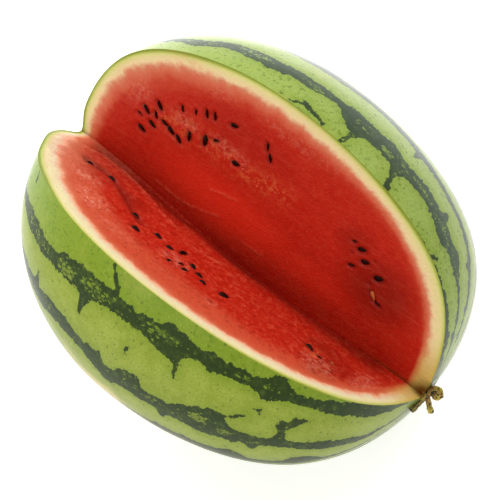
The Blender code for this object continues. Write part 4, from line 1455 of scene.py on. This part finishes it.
stem = {
    "runs": [
        [(-2.5, -0.6, -1.6, 2.4), (0, -0.1, -0.2, 4.0), (1.4, -0.2, -0.2, 3.4), (2.4, -0.4, -0.4, 2.2)],
        [(0.4, 0.0, 0.4, 2.3), (2.0, 2.4, 2.0, 1.8), (4.1, 4.3, 2.8, 1.75), (6.3, 4.4, 2.0, 1.6),
         (7.6, 3.1, 0.4, 1.5), (7.3, 1.5, -0.4, 1.45), (5.6, 0.3, -0.3, 1.5), (4.2, 0.2, -0.2, 1.2)],
        [(6.8, 2.7, 0.3, 1.4), (8.3, 3.4, -0.2, 1.1), (9.3, 3.9, -0.6, 0.7)],
        [(0.8, -1.6, -1.6, 2.1), (3.5, -2.6, -3.8, 1.55), (5.8, -4.0, -5.9, 1.6), (7.9, -5.4, -7.4, 1.65),
         (8.9, -6.3, -8.2, 1.6)],
        [(0.2, -3.4, -0.4, 2.1), (0.4, -7.6, -0.1, 1.9), (0.4, -12.0, -0.2, 1.7), (0.5, -14.9, -1.1, 1.45),
         (0.4, -16.2, -1.6, 1.2)],
        [(0.1, -6.0, 0.7, 1.3), (-1.2, -10.3, 1.7, 1.0), (-0.9, -14.3, 0.7, 0.85), (-0.3, -16.4, -0.7, 0.8)],
        [(4.4, 1.3, 1.0, 1.5), (6.0, 1.8, 0.7, 1.7), (6.9, 2.4, 0.3, 1.4)],
        [(1.8, -0.4, 1.2, 1.3), (3.3, 0.3, 0.8, 1.3), (4.6, 0.6, 0.7, 1.4), (6.2, 0.9, 0.9, 1.5)],
        [(-0.6, -0.4, 1.0, 1.0), (0.9, -0.8, 3.0, 1.0), (2.1, -1.7, 2.0, 1.1), (3.2, -2.9, -1.7, 1.0)],
        [(-0.6, -2.0, 0.6, 1.0), (0.8, -3.3, 2.3, 1.1), (0.8, -5.0, 1.3, 1.2), (-0.2, -7.7, -0.6, 1.1)],
        [(-0.9, 3.9, 2.2, 1.0), (0.9, 1.6, 3.0, 1.3), (2.7, 1.5, 2.6, 1.2)],
    ],
    "lineSteps": 48,
    "roundSteps": 40,
    "sharpAngle": 60,
    "smoothing": 0.5,
    "smoothRounds": 2,
    "ridges": [(900, 0.22), (420, 0.50)],  # waves in a metre, and millimetres high
    "hollowRounds": 12,
    "flutes": 5.0,
    "fluteDepth": 0.24,
    "twist": 50.0,
    "voxel": 0.00026,
    "ochre": srgb(206, 182, 72),
    "olive": srgb(118, 114, 32),
    "rust": srgb(140, 84, 34),
    "umber": srgb(62, 46, 14),
    "cutEnd": srgb(40, 32, 12),
    "knob": srgb(112, 76, 28),
    "darkOlive": srgb(92, 88, 26),
    "ends": [(10.3, -5.4, -7.2), (-0.2, -16.3, -1.2), (9.4, 4.0, -0.7)],
    "darkStub": (0.0, -14.0, -0.6),
    "blotch": {"Size": 0.0026, "Fineness": 3.0, "Contrast": 1.3},
    "roughness": 0.55,
    "roughSpread": 0.2,
    "barkDepth": 0.0002,
    "rusty": (0.004, 2.0, 0.5, 33.0),  # size, detail, roughness and seed
    "fibres": (0.0006, 3.0, 0.6, 13.0),
    # fades: the value where each one starts and where it ends, then the shares there if not 0 and 1
    "oliveFade": (0.35, 0.95),
    "rustFade": (0.50, 0.66, 0.0, 0.6),
    "rustNearBase": (0.0090, 0.0035, 0.0, 0.75),
    "knobNearBase": (0.0060, 0.0035, 0.0, 0.8),
    "stubFade": (0.0105, 0.0050, 0.0, 0.65),
    "hollowFade": (0.01, 0.13, 0.0, 0.95),
    "endFade": (0.0021, 0.0013),
}


def stemCurves():
    curve = bpy.data.curves.new("stemRuns", "CURVE")
    curve.dimensions = "3D"
    curve.twist_mode = "MINIMUM"
    base = stemBase()
    for run in stem["runs"]:
        spline = curve.splines.new("BEZIER")
        spline.bezier_points.add(len(run) - 1)
        for point, (x, y, z, radius) in zip(spline.bezier_points, run):
            point.co = base + np.array([x, y, z]) * mm
            point.radius = radius * mm
            point.handle_left_type = point.handle_right_type = "AUTO"
    return curve


def buildStemTree():
    tree, given, made = geometryTree("fluted runs", [
        ("Flutes", "Float", 5.0), ("Flute Depth", "Float", 0.2), ("Twist", "Float", 60.0),
        ("Bark", "Material", None),
    ])
    line = step(tree, "ResampleCurve", Curve=given["Geometry"], Count=stem["lineSteps"])
    circle = step(tree, "CurvePrimitiveCircle", Resolution=stem["roundSteps"], Radius=1.0)
    x, y, _ = split(step(tree, "InputPosition"))
    size = 1.0 + calc("COSINE", calc("ARCTAN2", y, x) * given["Flutes"]) * given["Flute Depth"]
    profile = step(tree, "SetPosition", Geometry=circle, Position=join(x * size, y * size))
    turned = step(tree, "SplineParameter") * calc("RADIANS", given["Twist"])
    line = step(tree, "SetCurveTilt", Curve=line, Tilt=turned)
    radius = step(tree, "InputRadius")
    tube = step(tree, "CurveToMesh", Curve=line, ProfileCurve=profile, Scale=radius, FillCaps=True)
    wire(made, finished(tree, tube, given["Bark"]))
    return tree


def buildBark():
    material, shader, place = newMaterial("dried stem bark")
    hollow = meshValue(place, "hollow")
    blotch = placeGroup(mottle, Vector=place, **stem["blotch"])
    rusty = grain(place, *stem["rusty"])
    base = stemBase()
    wobble = blotch * 0.004 - 0.002
    fromBase = vectorCalc("DISTANCE", place, base) + wobble
    onStub = vectorCalc("DISTANCE", place, base + np.array(stem["darkStub"]) * mm) + wobble
    colour = layered(
        stem["ochre"], stem,
        (rescale(blotch, *stem["oliveFade"]), "olive"),
        (rescale(rusty, *stem["rustFade"]), "rust"),
        (rescale(fromBase, *stem["rustNearBase"]), "rust"),
        (rescale(fromBase, *stem["knobNearBase"]), "knob"),
        (rescale(onStub, *stem["stubFade"]), "darkOlive"),
        # painted shade: umber in the bark's hollows
        (rescale(hollow, *stem["hollowFade"]), "umber"),
    )
    for end in stem["ends"]:
        toEnd = vectorCalc("DISTANCE", place, base + np.array(end) * mm) + blotch * 0.0016 - 0.0008
        colour = tint(rescale(toEnd, *stem["endFade"]), colour, stem["cutEnd"])
    wire(shader["Base Color"], colour)
    wire(shader["Roughness"], blotch * stem["roughSpread"] + stem["roughness"])
    addBump(shader, grain(place, *stem["fibres"]), stem["barkDepth"])
    return material


def fuseRuns(piece):
    # one skin over all the runs, then smoothed a little
    remesh = piece.modifiers.new("fuse", "REMESH")
    remesh.mode = "VOXEL"
    remesh.voxel_size = stem["voxel"]
    smooth = piece.modifiers.new("smooth", "SMOOTH")
    smooth.factor = stem["smoothing"]
    smooth.iterations = stem["smoothRounds"]
    graph = bpy.context.evaluated_depsgraph_get()
    fused = bpy.data.meshes.new_from_object(piece.evaluated_get(graph), depsgraph=graph)
    piece.modifiers.clear()
    piece.data = fused
    fused.name = piece.name


def roughenBark(mesh):
    # fine ridges in the bark, and a value that is high in hollows
    points, normals = readAll(mesh.vertices, "co", 3), readAll(mesh.vertices, "normal", 3)
    heights = [sum(noise.noise(Vector(p) * waves) * high for waves, high in stem["ridges"]) for p in points]
    moved = points + normals * (np.array(heights) * mm)[:, None]
    mesh.vertices.foreach_set("co", moved.ravel())
    one, other = readAll(mesh.edges, "vertices", 2, int).T
    near = np.bincount(np.concatenate([one, other]), minlength=len(points))[:, None]
    smooth = moved
    for _ in range(stem["hollowRounds"]):
        total = np.zeros_like(smooth)
        np.add.at(total, one, smooth[other])
        np.add.at(total, other, smooth[one])
        smooth = total / np.maximum(near, 1)
    hollow = ((smooth - moved) * normals).sum(1) / mm
    keepValues(mesh, "hollow", hollow.astype(np.float32))


# Make the three pieces

print("finishes: skin, flesh, seed coat, bark")
skinFinish, fleshFinish, seedFinish, barkFinish = buildSkin(), buildFlesh(), buildSeedFinish(), buildBark()

melonPiece = runTree("melon", melonMesh, buildReliefTree(), Skin=skinFinish, Flesh=fleshFinish,
                     LumpSize=skin["lumpSize"], LumpHeight=skin["lumpHeight"],
                     GrainSize=flesh["grainSize"], GrainHeight=flesh["grainHeight"])
smoothWithSharp(melonPiece.data, melon["sharpAngle"], slotBorders=True)
print("melon:", len(melonPiece.data.polygons), "faces")

seedsPiece = runTree("seeds", seedPoints(), buildSeedTree(), Taper=seed["taper"], Rim=seed["rim"],
                     SeedFinish=seedFinish)
print("seeds:", len(seedsPiece.data.polygons), "faces")

stemPiece = runTree("dried_stem", stemCurves(), buildStemTree(), Flutes=stem["flutes"],
                    FluteDepth=stem["fluteDepth"], Twist=stem["twist"], Bark=barkFinish)
fuseRuns(stemPiece)
roughenBark(stemPiece.data)
smoothWithSharp(stemPiece.data, stem["sharpAngle"])
print("dried stem:", len(stemPiece.data.polygons), "faces")

for piece in (melonPiece, seedsPiece, stemPiece):
    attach(piece, "root")
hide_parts("melon_body")
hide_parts(*[one["name"] for one in seeds])
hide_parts("stem")

# The studio: a pale floor, soft light from above, and the camera that the photograph was taken from

studio = {
    "azimuth": 42.07,
    "elevation": 58.69,
    "distance": 0.700,
    "lens": 76.3,
    "sensor": 36.0,
    "clipStart": 0.05,
    "aimRight": 0.0113,
    "aimUp": -0.0123,
    "floorSize": 12.0,
    "floorSurface": {"Base Color": srgb(238, 238, 236), "Roughness": 0.8, "Specular IOR Level": 0.1,
                     "Emission Color": (1, 1, 1, 1)},
    "floorGlow": 0.60,
    "roundGlow": 0.2,  # what the floor gives back all round, as a lit white sheet would
    # and what it gives back to one side: the way there, metres until it is full, and how much
    "sideGlows": [((-0.70, 0.71), 0.45, 1.6), ((0.74, 0.67), 0.35, 1.0)],
    "worldStrength": 0.40,
    "worldSeen": 0.90,  # as the camera sees it behind the floor
    "lampAim": (0, 0, 0.1),
    "lamps": [
        {"name": "top softbox", "place": (-0.2, 0.3, 1.6), "size": 1.3, "power": 13.0},
        {"name": "front fill", "place": (-0.3, -1.8, 1.2), "size": 1.4, "power": 14.5},
        {"name": "left softbox", "place": (-2.2, 0.69, 0.96), "size": 2.0, "power": 39.0},
    ],
}


def buildFloor():
    size = studio["floorSize"] / 2
    mesh = bpy.data.meshes.new("floor")
    corners = [(-size, -size, 0), (size, -size, 0), (size, size, 0), (-size, size, 0)]
    mesh.from_pydata(corners, [], [(0, 1, 2, 3)])
    material, shader, place = newMaterial("pale studio floor")
    setSurface(shader, studio["floorSurface"])
    seen = addNode("ShaderNodeLightPath", {}, place.tree)[0]
    sides = []
    for way, reach, glow in studio["sideGlows"]:
        aside = vectorCalc("DOT_PRODUCT", place, (*way, 0))
        sides.append(rescale(aside, 0.0, reach, studio["roundGlow"], glow))
    unseen = calc("MAXIMUM", *sides) * (1.0 - seen)
    wire(shader["Emission Strength"], seen * studio["floorGlow"] + unseen)
    mesh.materials.append(material)
    floor = showPiece("floor", mesh)


def buildLamps():
    for lamp in studio["lamps"]:
        light = bpy.data.lights.new(lamp["name"], "AREA")
        light.shape = "DISK"
        light.size = lamp["size"]
        light.energy = lamp["power"]
        made = showPiece(lamp["name"], light)
        made.location = lamp["place"]
        way = Vector(studio["lampAim"]) - made.location
        made.rotation_euler = way.to_track_quat("-Z", "Y").to_euler()
    world = bpy.data.worlds.new("white studio")
    world.use_nodes = True
    background = world.node_tree.nodes["Background"]
    background.inputs["Color"].default_value = (1, 1, 1, 1)
    seen = addNode("ShaderNodeLightPath", {}, world.node_tree)[0]
    extra = studio["worldSeen"] - studio["worldStrength"]
    wire(background.inputs["Strength"], seen * extra + studio["worldStrength"])
    bpy.context.scene.world = world


def buildCamera():
    azimuth, elevation = math.radians(studio["azimuth"]), math.radians(studio["elevation"])
    right = Vector((math.cos(azimuth), math.sin(azimuth), 0))
    back = Vector((math.sin(azimuth) * math.cos(elevation), -math.cos(azimuth) * math.cos(elevation),
                   math.sin(elevation)))
    up = back.cross(right)
    target = Vector((0, poleSideways, poleHeight)) + right * studio["aimRight"] + up * studio["aimUp"]
    camera = bpy.data.cameras.new("camera")
    camera.lens = studio["lens"]
    camera.sensor_width = studio["sensor"]
    camera.clip_start = studio["clipStart"]
    made = showPiece("camera", camera)
    made.location = target + back * studio["distance"]
    made.rotation_euler = Matrix((right, up, back)).transposed().to_euler()
    bpy.context.scene.camera = made


buildFloor()
buildLamps()
buildCamera()
bpy.context.scene.view_settings.view_transform = "Standard"
print("studio ready")
